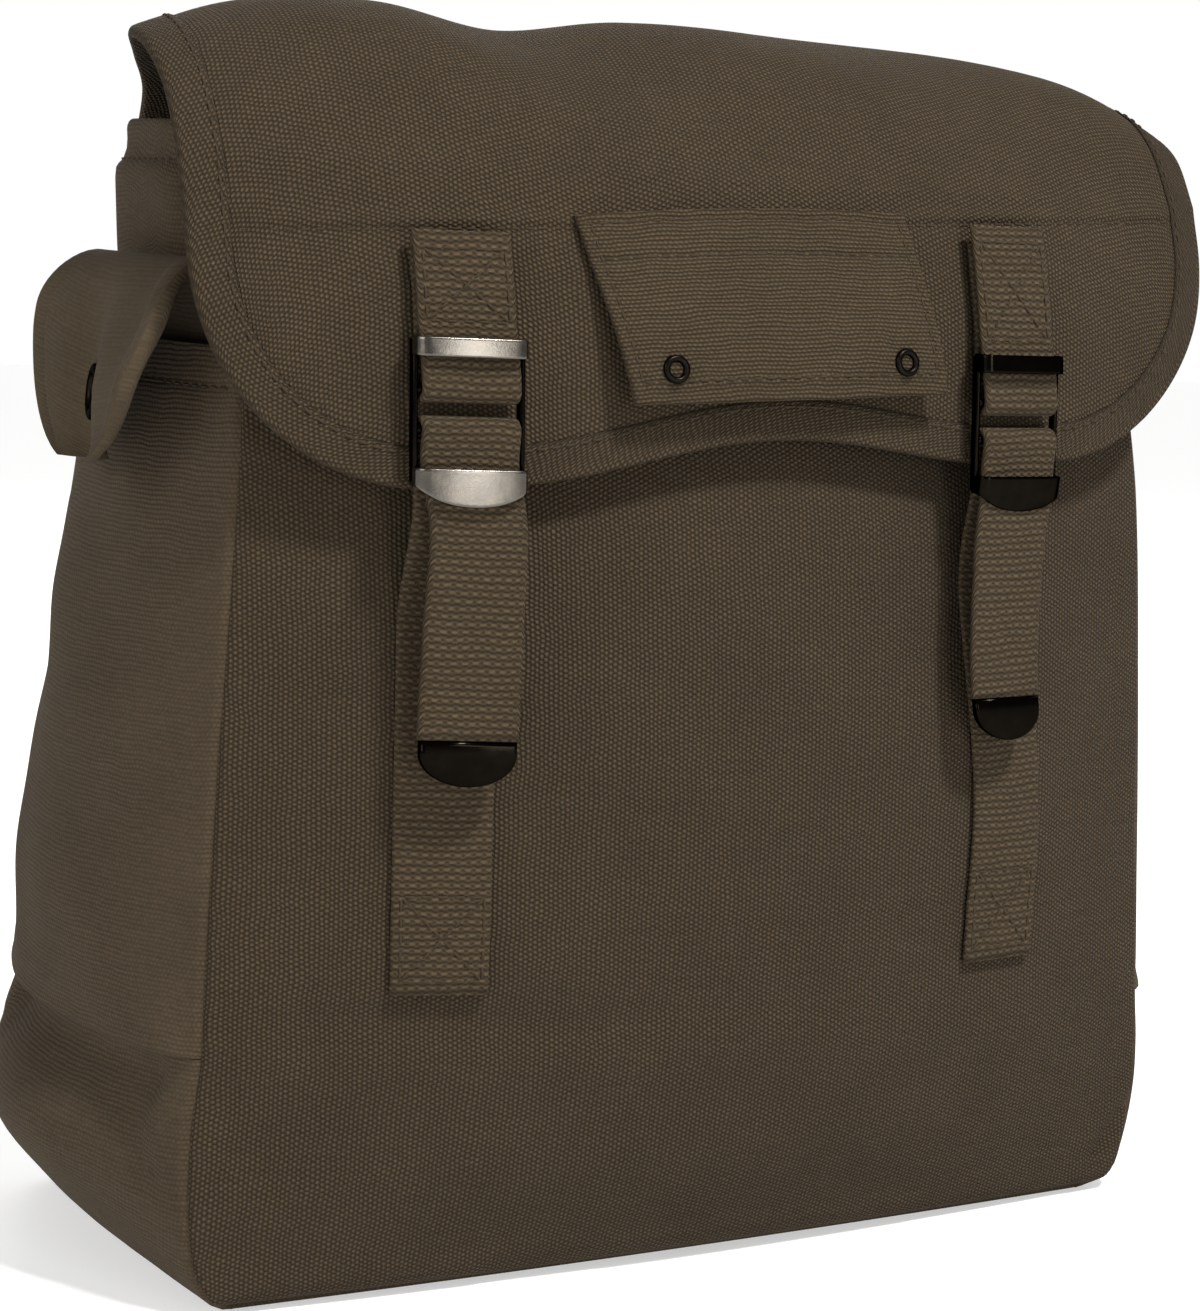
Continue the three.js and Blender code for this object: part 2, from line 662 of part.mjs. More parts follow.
// Straps lie on a bed: the flap's face where it covers, then a bridge back to the front panel.
function bedY(x, z) {
  const edge = flapLow(x, 0);
  const over = Math.min(flapFaceY(x, z) - bindingGap - bindingThickness, frontY(x, z));
  const share = smooth((edge - 2 - z) / strapBridge);
  return z >= edge - 2 ? over : mix(over, frontY(x, z), share);
}

// place is where a strap crosses the buckle, foot where it is sewn to the front panel.
function strapPoint(strap, across, out, z) {
  const low = lowerStrapFoot + strapStraightFoot;
  const slant = smooth((z - low) / (buckleTop - buckleHeight - low));
  const x = mix(strap.foot, strap.place, slant) + across;
  return settle(new THREE.Vector3(x, bedY(x, z) - out, z));
}

const layer = webThickness + seamGap;
const firstLayer = seamGap + webThickness / 2;
const barOut = firstLayer + crossBar / 2 + seamGap + webThickness / 2;
const turnRadius = crossBar / 2 + seamGap + webThickness / 2;
const slotMiddle = buckleTop - slotDrop;
const upperBar = slotMiddle + slotHeight / 2 + turnRadius + webThickness / 2;
const lowerBar = slotMiddle - slotHeight / 2 - turnRadius - webThickness / 2;

// A flat web along a path of [out, up] points, as a solid of its own thickness.
function web(strap, path) {
  const curve = new THREE.CatmullRomCurve3(
    path.map(([out, up, slide = 0]) => new THREE.Vector3(slide, out, up)),
    false,
    'centripetal',
  );
  const places = curve.getPoints(path.length * 2);
  const rows = (offset) => places.map((p, i) => {
    const before = places[Math.max(0, i - 1)];
    const after = places[Math.min(places.length - 1, i + 1)];
    const run = after.clone().sub(before).normalize();
    const out = p.y + offset * run.z;
    const up = p.z - offset * run.y;
    return steps(2).map((across) => strapPoint(strap, p.x + across * webWidth / 2, out, up));
  });
  return sheetPlain(rows(webThickness / 2), rows(-webThickness / 2));
}

// The same as sheetSolid for points that have settled already.
function sheetPlain(outer, inner) {
  const lift = (rows) => rows.map((row) => row.map(unsettle));
  return sheetSolid(lift(outer), lift(inner));
}

function unsettle(point) {
  const p = point.clone();
  for (let i = 0; i < 6; i += 1) {
    const tried = settle(p.clone());
    p.z += point.z - tried.z;
  }
  return p;
}

function upperStrap(strap) {
  const arc = steps(6, 0, Math.PI).map((angle) => [
    barOut - turnRadius * Math.cos(angle),
    upperBar - turnRadius * Math.sin(angle),
  ]);
  const returnOut = firstLayer + layer;
  const top = upperStrapTop + flapTilt * strap.place;
  const down = (share) => mix(top, buckleTop, share);
  return web(strap, [
    [firstLayer, down(0.15)], [firstLayer, down(0.55)], [firstLayer, down(0.92)],
    ...arc,
    [returnOut + 1.2, down(1.08)], [returnOut, down(0.85)], [returnOut, down(0.4)], [returnOut, top],
  ]);
}

function lowerStrap(strap) {
  const arc = steps(6, 0, Math.PI).map((angle) => [
    barOut - turnRadius * Math.cos(angle),
    lowerBar + turnRadius * Math.sin(angle),
  ]);
  const tailOut = firstLayer + layer;
  const rise = [0, 0.16, 0.32, 0.48, 0.64, 0.8, 0.92].map((share) => [
    firstLayer, mix(lowerStrapFoot, lowerBar - 3, share),
  ]);
  const fall = [0.2, 0.42, 0.62, 0.8, 1].map((share) => [
    tailOut + tailStandOff * smooth(share),
    mix(lowerBar - 12, strap.tailEnd + seamGap, share),
    strap.tailSlide * smooth(share),
  ]);
  return web(strap, [...rise, ...arc, [tailOut + 1.6, lowerBar - 8], ...fall]);
}

// Lays a solid drawn in across, out and up on the bed of a strap.
function onStrap(solid, strap) {
  const mesh = solid.getMesh();
  const positions = [];
  for (let i = 0; i < mesh.vertProperties.length; i += 3) {
    const [across, out, up] = mesh.vertProperties.slice(i, i + 3);
    positions.push(...strapPoint(strap, across, out, up).toArray());
  }
  return facingOut(positions, Array.from(mesh.triVerts));
}

const box = (across, out, up, wide, deep, high) =>
  new THREE.BoxGeometry(wide, deep, high).translate(across, out, up);

function buckle(strap) {
  const bottom = buckleTop - buckleHeight;
  const railOut = barOut;
  const railX = buckleWidth / 2 - buckleThickness / 2;
  const railTop = buckleTop - 1;
  const railFoot = bottom + dPlateHeight * 0.4;
  const frontOut = barOut + turnRadius + webThickness / 2 + looseGap + buckleThickness / 2;
  const parts = [];
  for (const side of [-1, 1]) {
    const railHeight = railTop - railFoot;
    const middle = (railTop + railFoot) / 2;
    parts.push(box(side * railX, railOut, middle, buckleThickness, crossBar + 0.6, railHeight));
    for (const [top, high] of [[buckleTop, topBarHeight], [bottom + dPlateHeight, dPlateHeight * 0.6]]) {
      const deep = frontOut - railOut + buckleThickness / 2;
      parts.push(box(side * railX, railOut + deep / 2, top - high / 2, buckleThickness, deep, high));
    }
  }
  for (const up of [upperBar, lowerBar]) {
    const bar = new THREE.CylinderGeometry(crossBar / 2, crossBar / 2, buckleWidth - buckleThickness, 10);
    parts.push(bar.rotateZ(Math.PI / 2).translate(0, barOut, up));
  }
  parts.push(box(0, frontOut, buckleTop - topBarHeight / 2, buckleWidth, buckleThickness, topBarHeight));
  const plate = plateSolid(buckleWidth, dPlateHeight, buckleThickness);
  plate.translate(0, frontOut, bottom + dPlateHeight);
  parts.push(plate);
  const joined = parts.map(solidOf).reduce((whole, part) => whole.add(part));
  return onStrap(joined, strap);
}

// D outline in the across-up plane, with its flat side at the top, centred in its thickness.
function plateSolid(width, height, thickness) {
  const shape = new THREE.Shape();
  shape.moveTo(-width / 2, 0);
  shape.lineTo(-width / 2, -height * 0.3);
  for (const angle of steps(10, Math.PI, 0).slice(1, -1)) {
    shape.lineTo(width / 2 * Math.cos(angle), -height * (0.3 + 0.7 * Math.sin(angle)));
  }
  shape.lineTo(width / 2, -height * 0.3);
  shape.lineTo(width / 2, 0);
  const plate = new THREE.ExtrudeGeometry(shape, { depth: thickness, bevelEnabled: false });
  return plate.translate(0, 0, -thickness / 2).rotateX(Math.PI / 2);
}

function strapTip(strap) {
  const tip = plateSolid(tipWidth, tipHeight, webThickness + 2 * tipThickness);
  tip.translate(strap.tailSlide, firstLayer + layer + tailStandOff, strap.tailEnd);
  return onStrap(solidOf(tip), strap);
}

const straps = [
  {
    name: 'left',
    place: leftStrapPlace,
    foot: leftFootPlace,
    tailEnd: leftTailEnd,
    tailSlide: leftTailSlide,
  },
  {
    name: 'right',
    place: rightStrapPlace,
    foot: rightFootPlace,
    tailEnd: rightTailEnd,
    tailSlide: rightTailSlide,
  },
];
for (const strap of straps) {
  addPiece(`upper_strap_${strap.name}`, upperStrap(strap), webbing());
  addPiece(`lower_strap_${strap.name}`, lowerStrap(strap), webbing());
  addPiece(`buckle_${strap.name}`, buckle(strap), blackMetal());
  addPiece(`strap_tip_${strap.name}`, strapTip(strap), blackMetal());
}

// The origin is under the middle of the whole bag, on the surface that it stands on.
const bounds = new THREE.Box3().setFromObject(bag);
bag.position.set(-(bounds.min.x + bounds.max.x) / 2, -(bounds.min.y + bounds.max.y) / 2, -bounds.min.z);
bag.updateMatrixWorld(true);

export default bag;
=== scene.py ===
"""Canvas haversack, filled and standing: its cloth, webbing, stitching, buckles and a small studio.

Sizes are in millimetres in the bag's own frame (front toward -Y, +Z up) until a mesh is made.
"""

import logging
from dataclasses import dataclass, field
from enum import Enum
from typing import Callable, Iterable, Sequence

import bmesh
import bpy
import numpy as np
from mathutils import Matrix, Vector


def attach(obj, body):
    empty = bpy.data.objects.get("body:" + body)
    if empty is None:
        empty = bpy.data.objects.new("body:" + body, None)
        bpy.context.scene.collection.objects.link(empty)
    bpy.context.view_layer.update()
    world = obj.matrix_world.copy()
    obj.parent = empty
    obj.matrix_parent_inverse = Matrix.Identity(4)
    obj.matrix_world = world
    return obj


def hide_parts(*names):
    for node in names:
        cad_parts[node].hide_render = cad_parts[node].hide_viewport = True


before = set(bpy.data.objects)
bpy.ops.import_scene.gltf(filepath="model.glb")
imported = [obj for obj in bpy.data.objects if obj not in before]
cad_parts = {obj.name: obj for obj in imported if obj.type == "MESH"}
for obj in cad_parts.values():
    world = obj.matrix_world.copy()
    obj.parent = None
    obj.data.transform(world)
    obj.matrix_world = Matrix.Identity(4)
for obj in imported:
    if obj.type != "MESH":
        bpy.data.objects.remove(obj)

Array = np.ndarray
Line = Callable[[Array, float], Array]
Stop = Callable[[Array, Array], Array]
log = logging.getLogger("haversack")

MM = 0.001
ROW_SHIFT = 12.299
LEAN = -0.033
BASE_RISE = 62.0
HEM = 10.0
CANVAS = 1.6
SEAM_GAP = 0.3
LOOSE_GAP = 0.5
ROOT = "root"
NUDGE = 0.01
THREAD_WANDER = 1.6
THREAD_ROUND = 0.85
MEAN_HEIGHT = 0.54
# Darkest painted shade in the gaps between threads, as a share of the cloth's colour.
DEEPEST_GAP_SHADE = 0.15


def mix(a: float | Array, b: float | Array, t: float | Array) -> float | Array:
    """Returns the value that is a share t of the way from a to b."""
    return a + (b - a) * t


def smooth(t: float | Array) -> float | Array:
    """Returns an eased step from 0 to 1 over t from 0 to 1."""
    t = np.clip(t, 0.0, 1.0)
    return t * t * (3.0 - 2.0 * t)


def bell(distance: float | Array, width: float) -> float | Array:
    """Returns a soft bump of height 1 at no distance."""
    return np.exp(-((distance / width) ** 2))


def point(x: float | Array, y: float | Array, z: float | Array) -> Array:
    """Returns points from their coordinates, spread to one shape."""
    return np.stack(np.broadcast_arrays(x, y, z), axis=-1).astype(float)


def unit(vectors: Array) -> Array:
    """Returns the vectors at length 1."""
    return vectors / np.maximum(np.linalg.norm(vectors, axis=-1, keepdims=True), 1e-9)


def settled(points: Array) -> Array:
    """Returns points in metres in the row frame, with the filled bag's lean.

    Args:
        points: Places in millimetres in the bag's frame, before it leans.
    """
    out = np.array(points, float)
    out[..., 2] += LEAN * out[..., 0] * smooth(out[..., 2] / BASE_RISE)
    out[..., 1] += ROW_SHIFT
    return out * MM


def places(low: float, high: float, step: float, lines: Iterable[float] = ()) -> Array:
    """Returns grid places from low to high, closer together at both ends and beside lines.

    Args:
        low: The first place.
        high: The last place.
        step: The usual distance between places.
        lines: Places of stitch lines and hems that need finer steps beside them.
    """
    spots = list(np.linspace(low, high, max(2, int(round((high - low) / step))) + 1))
    fine = step / 2.2
    for end, way in ((low, 1.0), (high, -1.0)):
        spots += [end + way * share * fine for share in (0.3, 0.75, 1.4)]
    for line in lines:
        spots += [line + share * fine for share in (-1.0, -0.45, 0.0, 0.45, 1.0)]
    spots = sorted(spot for spot in spots if low <= spot <= high)
    kept = [low]
    for spot in spots:
        if spot - kept[-1] > 0.12 * fine:
            kept.append(spot)
    kept[-1] = high
    return np.array(kept)


def ripples(a: Array, b: Array, seed: int, length: float) -> Array:
    """Returns a gentle uneven wave from about -1 to 1 over two distances.

    Args:
        a: Distances one way.
        b: Distances the other way.
        seed: Choice of the waves.
        length: Usual length of one wave.
    """
    draws = np.random.default_rng(seed)
    total = np.zeros(np.broadcast(a, b).shape)
    for _ in range(6):
        angle, phase = draws.uniform(0, 2 * np.pi, 2)
        scale = 2 * np.pi / (length * draws.uniform(0.6, 1.7))
        total += np.sin((a * np.cos(angle) + b * np.sin(angle)) * scale + phase)
    return total / 3.2


@dataclass(frozen=True)
class Table:
    """A few stops of named columns, each read as a smooth curve of the first column."""

    columns: tuple[str, ...]
    rows: tuple[tuple[float, ...], ...]

    def read(self, column: str, place: float | Array) -> Array:
        """Returns a column's value at a place along the first column."""
        values = np.asarray(self.rows, float)
        key, chosen = values[:, 0], values[:, self.columns.index(column)]
        last = len(key) - 1
        order = np.arange(last + 1)
        before = np.maximum(order - 1, 0)
        after = np.minimum(order + 1, last)
        slope = (chosen[after] - chosen[before]) / (key[after] - key[before])
        at = np.clip(place, key[0], key[-1])
        i = np.clip(np.searchsorted(key, at, side="left") - 1, 0, last - 1)
        gap, rise = key[i + 1] - key[i], chosen[i + 1] - chosen[i]
        t = (at - key[i]) / gap
        bend = (slope[i] * gap - rise) * (1 - t) + (rise - slope[i + 1] * gap) * t
        return chosen[i] + rise * t + t * (1 - t) * bend


@dataclass(frozen=True)
class Fold:
    """A crease or a roll of cloth between two places on a panel."""

    start: tuple[float, float]
    end: tuple[float, float]
    width: float
    rise: float

    def lift(self, a: Array, b: Array) -> Array:
        """Returns how far the fold lifts the cloth at places a, b on its panel."""
        run = np.subtract(self.end, self.start)
        share = ((a - self.start[0]) * run[0] + (b - self.start[1]) * run[1]) / float(run @ run)
        held = np.clip(share, 0.0, 1.0)
        away = np.hypot(a - self.start[0] - held * run[0], b - self.start[1] - held * run[1])
        return self.rise * bell(away, self.width)


def folded(folds: Sequence[Fold], a: Array, b: Array) -> Array:
    """Returns the lift of several folds together."""
    total = np.zeros(np.broadcast(a, b).shape)
    for fold in folds:
        total = total + fold.lift(a, b)
    return total


def rolled(distance: Array, radius: float, drop: float) -> Array:
    """Returns how far cloth turns in near a seam.

    Args:
        distance: Distance from the seam.
        radius: Width of cloth that turns.
        drop: How far its very edge turns in.
    """
    share = np.clip(1.0 - distance / radius, 0.0, 1.0)
    return drop * (1.0 - np.sqrt(1.0 - 0.98 * share**2)) / (1.0 - np.sqrt(0.02))


def seamed(distance: Array) -> Array:
    """Returns how far a panel turns in at a corner seam and its narrow groove.

    Args:
        distance: Distance from the seam.
    """
    return rolled(distance, 2.6, 0.9) + 2.0 * smooth((1.0 - distance) / 0.55)


# Meshes and thread


class Wrap(Enum):
    """Whether a grid of cloth closes on itself."""

    OPEN = "open"
    RING = "ring"


@dataclass
class MeshMaker:
    """Corners, faces and cloth distances of one piece while it is drawn."""

    corners: list[Array] = field(default_factory=list)
    faces: list[Array] = field(default_factory=list)
    cloth: list[Array] = field(default_factory=list)
    count: int = 0

    def grid(self, points: Array, laid: Array, wrap: Wrap = Wrap.OPEN) -> Array:
        """Adds one grid of faces.

        Args:
            points: Corners in millimetres, rows by columns by 3.
            laid: Distances along the cloth, rows by columns by 2.
            wrap: Whether the last column joins the first.

        Returns:
            The number of each corner, rows by columns.
        """
        rows, columns = points.shape[:2]
        numbers = self.count + np.arange(rows * columns).reshape(rows, columns)
        self.corners.append(settled(points).reshape(-1, 3))
        self.count += rows * columns
        if wrap is Wrap.RING:
            joined = np.concatenate([numbers, numbers[:, :1]], axis=1)
            step = laid[:, -1:] * 2 - laid[:, -2:-1]
            laid = np.concatenate([laid, step], axis=1)
        else:
            joined = numbers
        self.quads(joined, laid)
        return numbers

    def quads(self, numbers: Array, laid: Array) -> None:
        """Adds the faces between corners that are numbered already."""
        pick = (np.s_[:-1, :-1], np.s_[:-1, 1:], np.s_[1:, 1:], np.s_[1:, :-1])
        self.faces.append(np.stack([numbers[p] for p in pick], -1).reshape(-1, 4))
        self.cloth.append(np.stack([laid[p] for p in pick], -2).reshape(-1, 4, 2))

    def strip(self, first: Array, second: Array, laid: Array) -> None:
        """Adds one row of faces between two rows of numbered corners."""
        self.quads(np.stack([first, second]), np.stack([laid, laid + 0.4]))

    def build(self, name: str, material: bpy.types.Material) -> bpy.types.Object:
        """Returns the finished piece, smooth, facing out and with its material."""
        mesh = bpy.data.meshes.new(name)
        faces = np.concatenate(self.faces)
        mesh.from_pydata(np.concatenate(self.corners).tolist(), [], faces.tolist())
        layer = mesh.uv_layers.new(name="cloth")
        layer.data.foreach_set("uv", np.concatenate(self.cloth).astype(np.float32).ravel())
        mesh.materials.append(material)
        shape = bmesh.new()
        shape.from_mesh(mesh)
        bmesh.ops.remove_doubles(shape, verts=shape.verts, dist=1e-7)
        bmesh.ops.recalc_face_normals(shape, faces=shape.faces)
        shape.to_mesh(mesh)
        shape.free()
        mesh.shade_smooth()
        piece = bpy.data.objects.new(name, mesh)
        bpy.context.scene.collection.objects.link(piece)
        return piece


def laid_flat(points: Array, turn: float = 0.0) -> Array:
    """Returns each grid point's distances along the cloth, in millimetres.

    Args:
        points: Corners, rows by columns by 3.
        turn: Angle in degrees that the weave is turned by.
    """
    across = np.linalg.norm(np.diff(points, axis=1), axis=2)
    along = np.linalg.norm(np.diff(points, axis=0), axis=2)
    u = np.concatenate([np.zeros((len(points), 1)), np.cumsum(across, axis=1)], axis=1)
    u -= u[:, u.shape[1] // 2 : u.shape[1] // 2 + 1]
    v = np.concatenate([np.zeros((1, points.shape[1])), np.cumsum(along, axis=0)], axis=0)
    angle = np.radians(turn)
    across_cloth = u * np.cos(angle) - v * np.sin(angle)
    along_cloth = u * np.sin(angle) + v * np.cos(angle)
    return np.stack([across_cloth, along_cloth], -1)


def sheet(
    name: str,
    outer: Array,
    inner: Array,
    material: bpy.types.Material,
    wrap: Wrap = Wrap.OPEN,
    turn: float = 0.0,
) -> bpy.types.Object:
    """Returns a closed sheet of cloth between two grids.

    Args:
        name: Name of the piece.
        outer: Corners of its outer face in millimetres.
        inner: Corners of its inner face.
        material: Its finish.
        wrap: Whether it closes to a ring.
        turn: Angle in degrees of its weave.
    """
    maker = MeshMaker()
    laid = laid_flat(outer, turn)
    out, back = maker.grid(outer, laid, wrap), maker.grid(inner, laid, wrap)
    for row in (0, -1):
        ends = [out[row], back[row]]
        flat = laid[row]
        if wrap is Wrap.RING:
            ends = [np.append(line, line[0]) for line in ends]
            flat = np.concatenate([flat, 2 * flat[-1:] - flat[-2:-1]])
        maker.strip(ends[0], ends[1], flat)
    if wrap is Wrap.OPEN:
        for column in (0, -1):
            maker.strip(out[:, column], back[:, column], laid[:, column])
    return maker.build(name, material)


def tube(name: str, rings: Array, material: bpy.types.Material) -> bpy.types.Object:
    """Returns a closed solid through rings of corners, each end closed to its middle."""
    maker = MeshMaker()
    numbers = maker.grid(rings, laid_flat(rings), Wrap.RING)
    for end in (0, -1):
        middle = np.broadcast_to(rings[end].mean(axis=0), rings[end].shape)
        tip = maker.grid(middle[None], np.zeros((1, rings.shape[1], 2)), Wrap.OPEN)[0]
        edge = numbers[end]
        flat = laid_flat(rings)[end]
        maker.strip(np.append(edge, edge[0]), np.append(tip, tip[0]), np.concatenate([flat, flat[:1]]))
    return maker.build(name, material)


def dressed(piece: bpy.types.Object, slot: str, nodes: Sequence[str] = ()) -> bpy.types.Object:
    """Returns the piece after it rides on the bag and stands for CAD nodes."""
    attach(piece, ROOT)
    if nodes:
        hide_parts(*nodes)
    log.info("%s: %d faces", piece.name, len(piece.data.polygons))
    return piece


@dataclass
class Stitching:
    """Rows of thread on one sub-assembly, gathered into a single piece."""

    name: str
    thread: float = 0.33
    length: float = 2.7
    gap: float = 0.9
    flatness: float = 0.75
    rise: float = 0.55
    dive: float = 1.1
    maker: MeshMaker = field(default_factory=MeshMaker)

    def row(self, line: Line, start: float = 0.0, end: float = 1.0) -> None:
        """Sews one row.

        Args:
            line: Gives points on the cloth from shares of the row and a height above the cloth.
            start: First share.
            end: Last share.
        """
        shares = np.linspace(start, end, 400)
        on = line(shares, 0.0)
        over = line(shares, 1.0)
        run = np.concatenate([[0.0], np.cumsum(np.linalg.norm(np.diff(on, axis=0), axis=1))])
        pitch = self.length + self.gap
        count = max(1, int(run[-1] / pitch))
        pitch = run[-1] / count
        length = pitch * self.length / (self.length + self.gap)
        rings = np.linspace(-1, 1, 5)
        sides = np.arange(6) * np.pi / 3
        for k in range(count):
            middle = (k + 0.5) * pitch
            at = middle + rings * length / 2
            centre = np.stack([np.interp(at, run, on[:, axis]) for axis in range(3)], -1)
            up = unit(np.stack([np.interp(at, run, (over - on)[:, axis]) for axis in range(3)], -1))
            ahead = unit(np.gradient(centre, axis=0))
            side = np.cross(ahead, up)
            thick = self.thread * np.sqrt(1.0 - 0.8 * rings**4)
            lift = self.thread * (self.rise - self.dive * rings**4)
            ring = centre[:, None] + up[:, None] * lift[:, None, None]
            ring = ring + side[:, None] * (thick[:, None] * np.cos(sides))[..., None]
            ring = ring + up[:, None] * (self.flatness * thick[:, None] * np.sin(sides))[..., None]
            numbers = self.maker.grid(ring, laid_flat(ring), Wrap.RING)
            for tip in (numbers[0], numbers[-1]):
                for quad in ((0, 1, 2, 3), (0, 3, 4, 5)):
                    self.maker.faces.append(tip[list(quad)][None])
                    self.maker.cloth.append(np.zeros((1, 4, 2)))

    def build(self, material: bpy.types.Material, slot: str) -> bpy.types.Object:
        """Returns all rows as one piece."""
        return dressed(self.maker.build(self.name, material), slot)


# Finishes


@dataclass
class NodeSheet:
    """A short way to lay out the nodes of one material."""

    material: bpy.types.Material

    @classmethod
    def new(cls, name: str) -> "NodeSheet":
        """Returns a new material's sheet with its nodes cleared."""
        material = bpy.data.materials.new(name)
        material.use_nodes = True
        material.node_tree.nodes.clear()
        return cls(material)

    def add(self, kind: str, inputs: dict | None = None, **settings: object) -> bpy.types.Node:
        """Adds a node.

        Args:
            kind: Node type without its prefix.
            inputs: Values or sockets by input name or number.
            **settings: Properties of the node.
        """
        node = self.material.node_tree.nodes.new("ShaderNode" + kind)
        for key, value in settings.items():
            setattr(node, key, value)
        for key, value in (inputs or {}).items():
            if isinstance(value, bpy.types.NodeSocket):
                self.material.node_tree.links.new(value, node.inputs[key])
            else:
                node.inputs[key].default_value = value
        return node

    def sum(self, operation: str, *values: object, clamp: bool = False) -> bpy.types.NodeSocket:
        """Returns the outcome of a math node."""
        node = self.add("Math", dict(enumerate(values)), operation=operation, use_clamp=clamp)
        return node.outputs[0]

    def remap(
        self, value: object, low: float, high: float, to_low: float, to_high: float
    ) -> bpy.types.NodeSocket:
        """Returns a value moved from one range to another."""
        node = self.add("MapRange", {0: value, 1: low, 2: high, 3: to_low, 4: to_high})
        return node.outputs[0]

    def noise(
        self, place: object, scale: float, detail: float = 2.0, rough: float = 0.5
    ) -> bpy.types.NodeSocket:
        """Returns a noise value at a place."""
        inputs = {"Vector": place, "Scale": scale, "Detail": detail, "Roughness": rough}
        return self.add("TexNoise", inputs).outputs[0]


class Weave(Enum):
    """How the threads of a cloth show."""

    DUCK = "duck"
    RIBBED = "ribbed"
    WEBBING = "webbing"


@dataclass(frozen=True)
class ClothFinish:
    """A woven cotton finish that follows the cloth's own distances, with painted shade in the gaps
    between its threads.
    """

    name: str
    colour: tuple[float, float, float]
    weave: Weave = Weave.DUCK
    warp: float = 2.34
    weft: float = 1.24
    relief: float = 0.85
    # How strongly the colour darkens in the gaps between threads: painted shade.
    thread_gap_shade: float = 1.85

    def material(self) -> bpy.types.Material:
        """Returns the cloth's material, made once."""
        known = bpy.data.materials.get(self.name)
        if known:
            return known
        nodes = NodeSheet.new(self.name)
        add, math = nodes.add, nodes.sum
        uv = add("UVMap", uv_map="cloth").outputs[0]
        waver = add("TexNoise", {"Vector": uv, "Scale": 0.11, "Detail": 2.0}).outputs[1]
        shifted = add("VectorMath", {0: waver, 1: (0.5, 0.5, 0.5)}, operation="SUBTRACT").outputs[0]
        wander = {0: shifted, 1: (THREAD_WANDER, THREAD_WANDER, 0.0), 2: uv}
        bent = add("VectorMath", wander, operation="MULTIPLY_ADD").outputs[0]
        axes = add("SeparateXYZ", {0: bent})
        across = math("MULTIPLY", axes.outputs[0], 2 * np.pi / self.warp)
        along = math("MULTIPLY", axes.outputs[1], 2 * np.pi / self.weft)
        height = math("POWER", self.threads(nodes, across, along), THREAD_ROUND)
        fuzz = nodes.noise(bent, 2.6, 3.0, 0.65)
        slub = add("Mapping", {"Vector": bent, "Scale": (0.05, 1.1, 1.0)}).outputs[0]
        slubs = nodes.noise(slub, 1.0, 2.0)
        raised = math("MULTIPLY_ADD", fuzz, 0.55, height)
        raised = math("MULTIPLY_ADD", slubs, 0.35, raised)
        bump = add("Bump", {"Strength": 1.0, "Distance": self.relief * MM, "Height": raised})
        mottle = nodes.noise(uv, 0.035, 4.0, 0.6)
        speck = nodes.noise(bent, 0.55, 2.0, 0.6)
        # Painted shade: the colour darkens where the threads sink, in the gaps between them; the mottle,
        # specks, slubs and fuzz below are the cloth's own uneven tone.
        gap_shade_and_tone = math("MULTIPLY_ADD", height, self.thread_gap_shade, 1.0 - self.thread_gap_shade * MEAN_HEIGHT)
        gap_shade_and_tone = math("MAXIMUM", gap_shade_and_tone, DEEPEST_GAP_SHADE)
        gap_shade_and_tone = math("MULTIPLY", gap_shade_and_tone, nodes.remap(mottle, 0.3, 0.7, 0.93, 1.08))
        gap_shade_and_tone = math("MULTIPLY", gap_shade_and_tone, nodes.remap(speck, 0.25, 0.75, 0.9, 1.12))
        gap_shade_and_tone = math("MULTIPLY", gap_shade_and_tone, nodes.remap(slubs, 0.3, 0.7, 0.94, 1.06))
        gap_shade_and_tone = math("MULTIPLY", gap_shade_and_tone, nodes.remap(fuzz, 0.3, 0.7, 0.9, 1.1))
        hue = nodes.noise(bent, 0.21, 2.0)
        dark = (self.colour[0] * 0.97, self.colour[1] * 1.0, self.colour[2] * 1.04, 1.0)
        warm = (self.colour[0] * 1.04, self.colour[1] * 0.99, self.colour[2] * 0.94, 1.0)
        base = add("Mix", {0: hue, 6: dark, 7: warm}, data_type="RGBA").outputs[2]
        colour = add("VectorMath", {0: base, 3: gap_shade_and_tone}, operation="SCALE").outputs[0]
        shader = add("BsdfPrincipled", {"Base Color": colour, "Normal": bump.outputs[0]})
        shader.inputs["Roughness"].default_value = 0.93
        shader.inputs["Specular IOR Level"].default_value = 0.05
        shader.inputs["Sheen Weight"].default_value = 0.02
        shader.inputs["Sheen Roughness"].default_value = 0.6
        add("OutputMaterial", {"Surface": shader.outputs[0]})
        return nodes.material

    def threads(
        self, nodes: NodeSheet, across: bpy.types.NodeSocket, along: bpy.types.NodeSocket
    ) -> bpy.types.NodeSocket:
        """Returns the height of the threads, from about 0 to 1."""
        crossing = nodes.sum("MULTIPLY", nodes.sum("COSINE", across), nodes.sum("COSINE", along))
        if self.weave is Weave.DUCK:
            columns = nodes.sum("COSINE", nodes.sum("MULTIPLY", across, 2.0))
            return nodes.remap(nodes.sum("MULTIPLY_ADD", columns, 0.5, crossing), -1.2, 1.2, 0.0, 1.0)
        rows = nodes.sum("COSINE", nodes.sum("MULTIPLY", along, 2.0))
        if self.weave is Weave.RIBBED:
            return nodes.remap(nodes.sum("ADD", rows, crossing), -1.7, 1.7, 0.0, 1.0)
        knots = nodes.sum("MULTIPLY_ADD", crossing, 2.0, 1.0)
        return nodes.remap(nodes.sum("MULTIPLY", rows, knots), -1.9, 1.9, 0.0, 1.0)


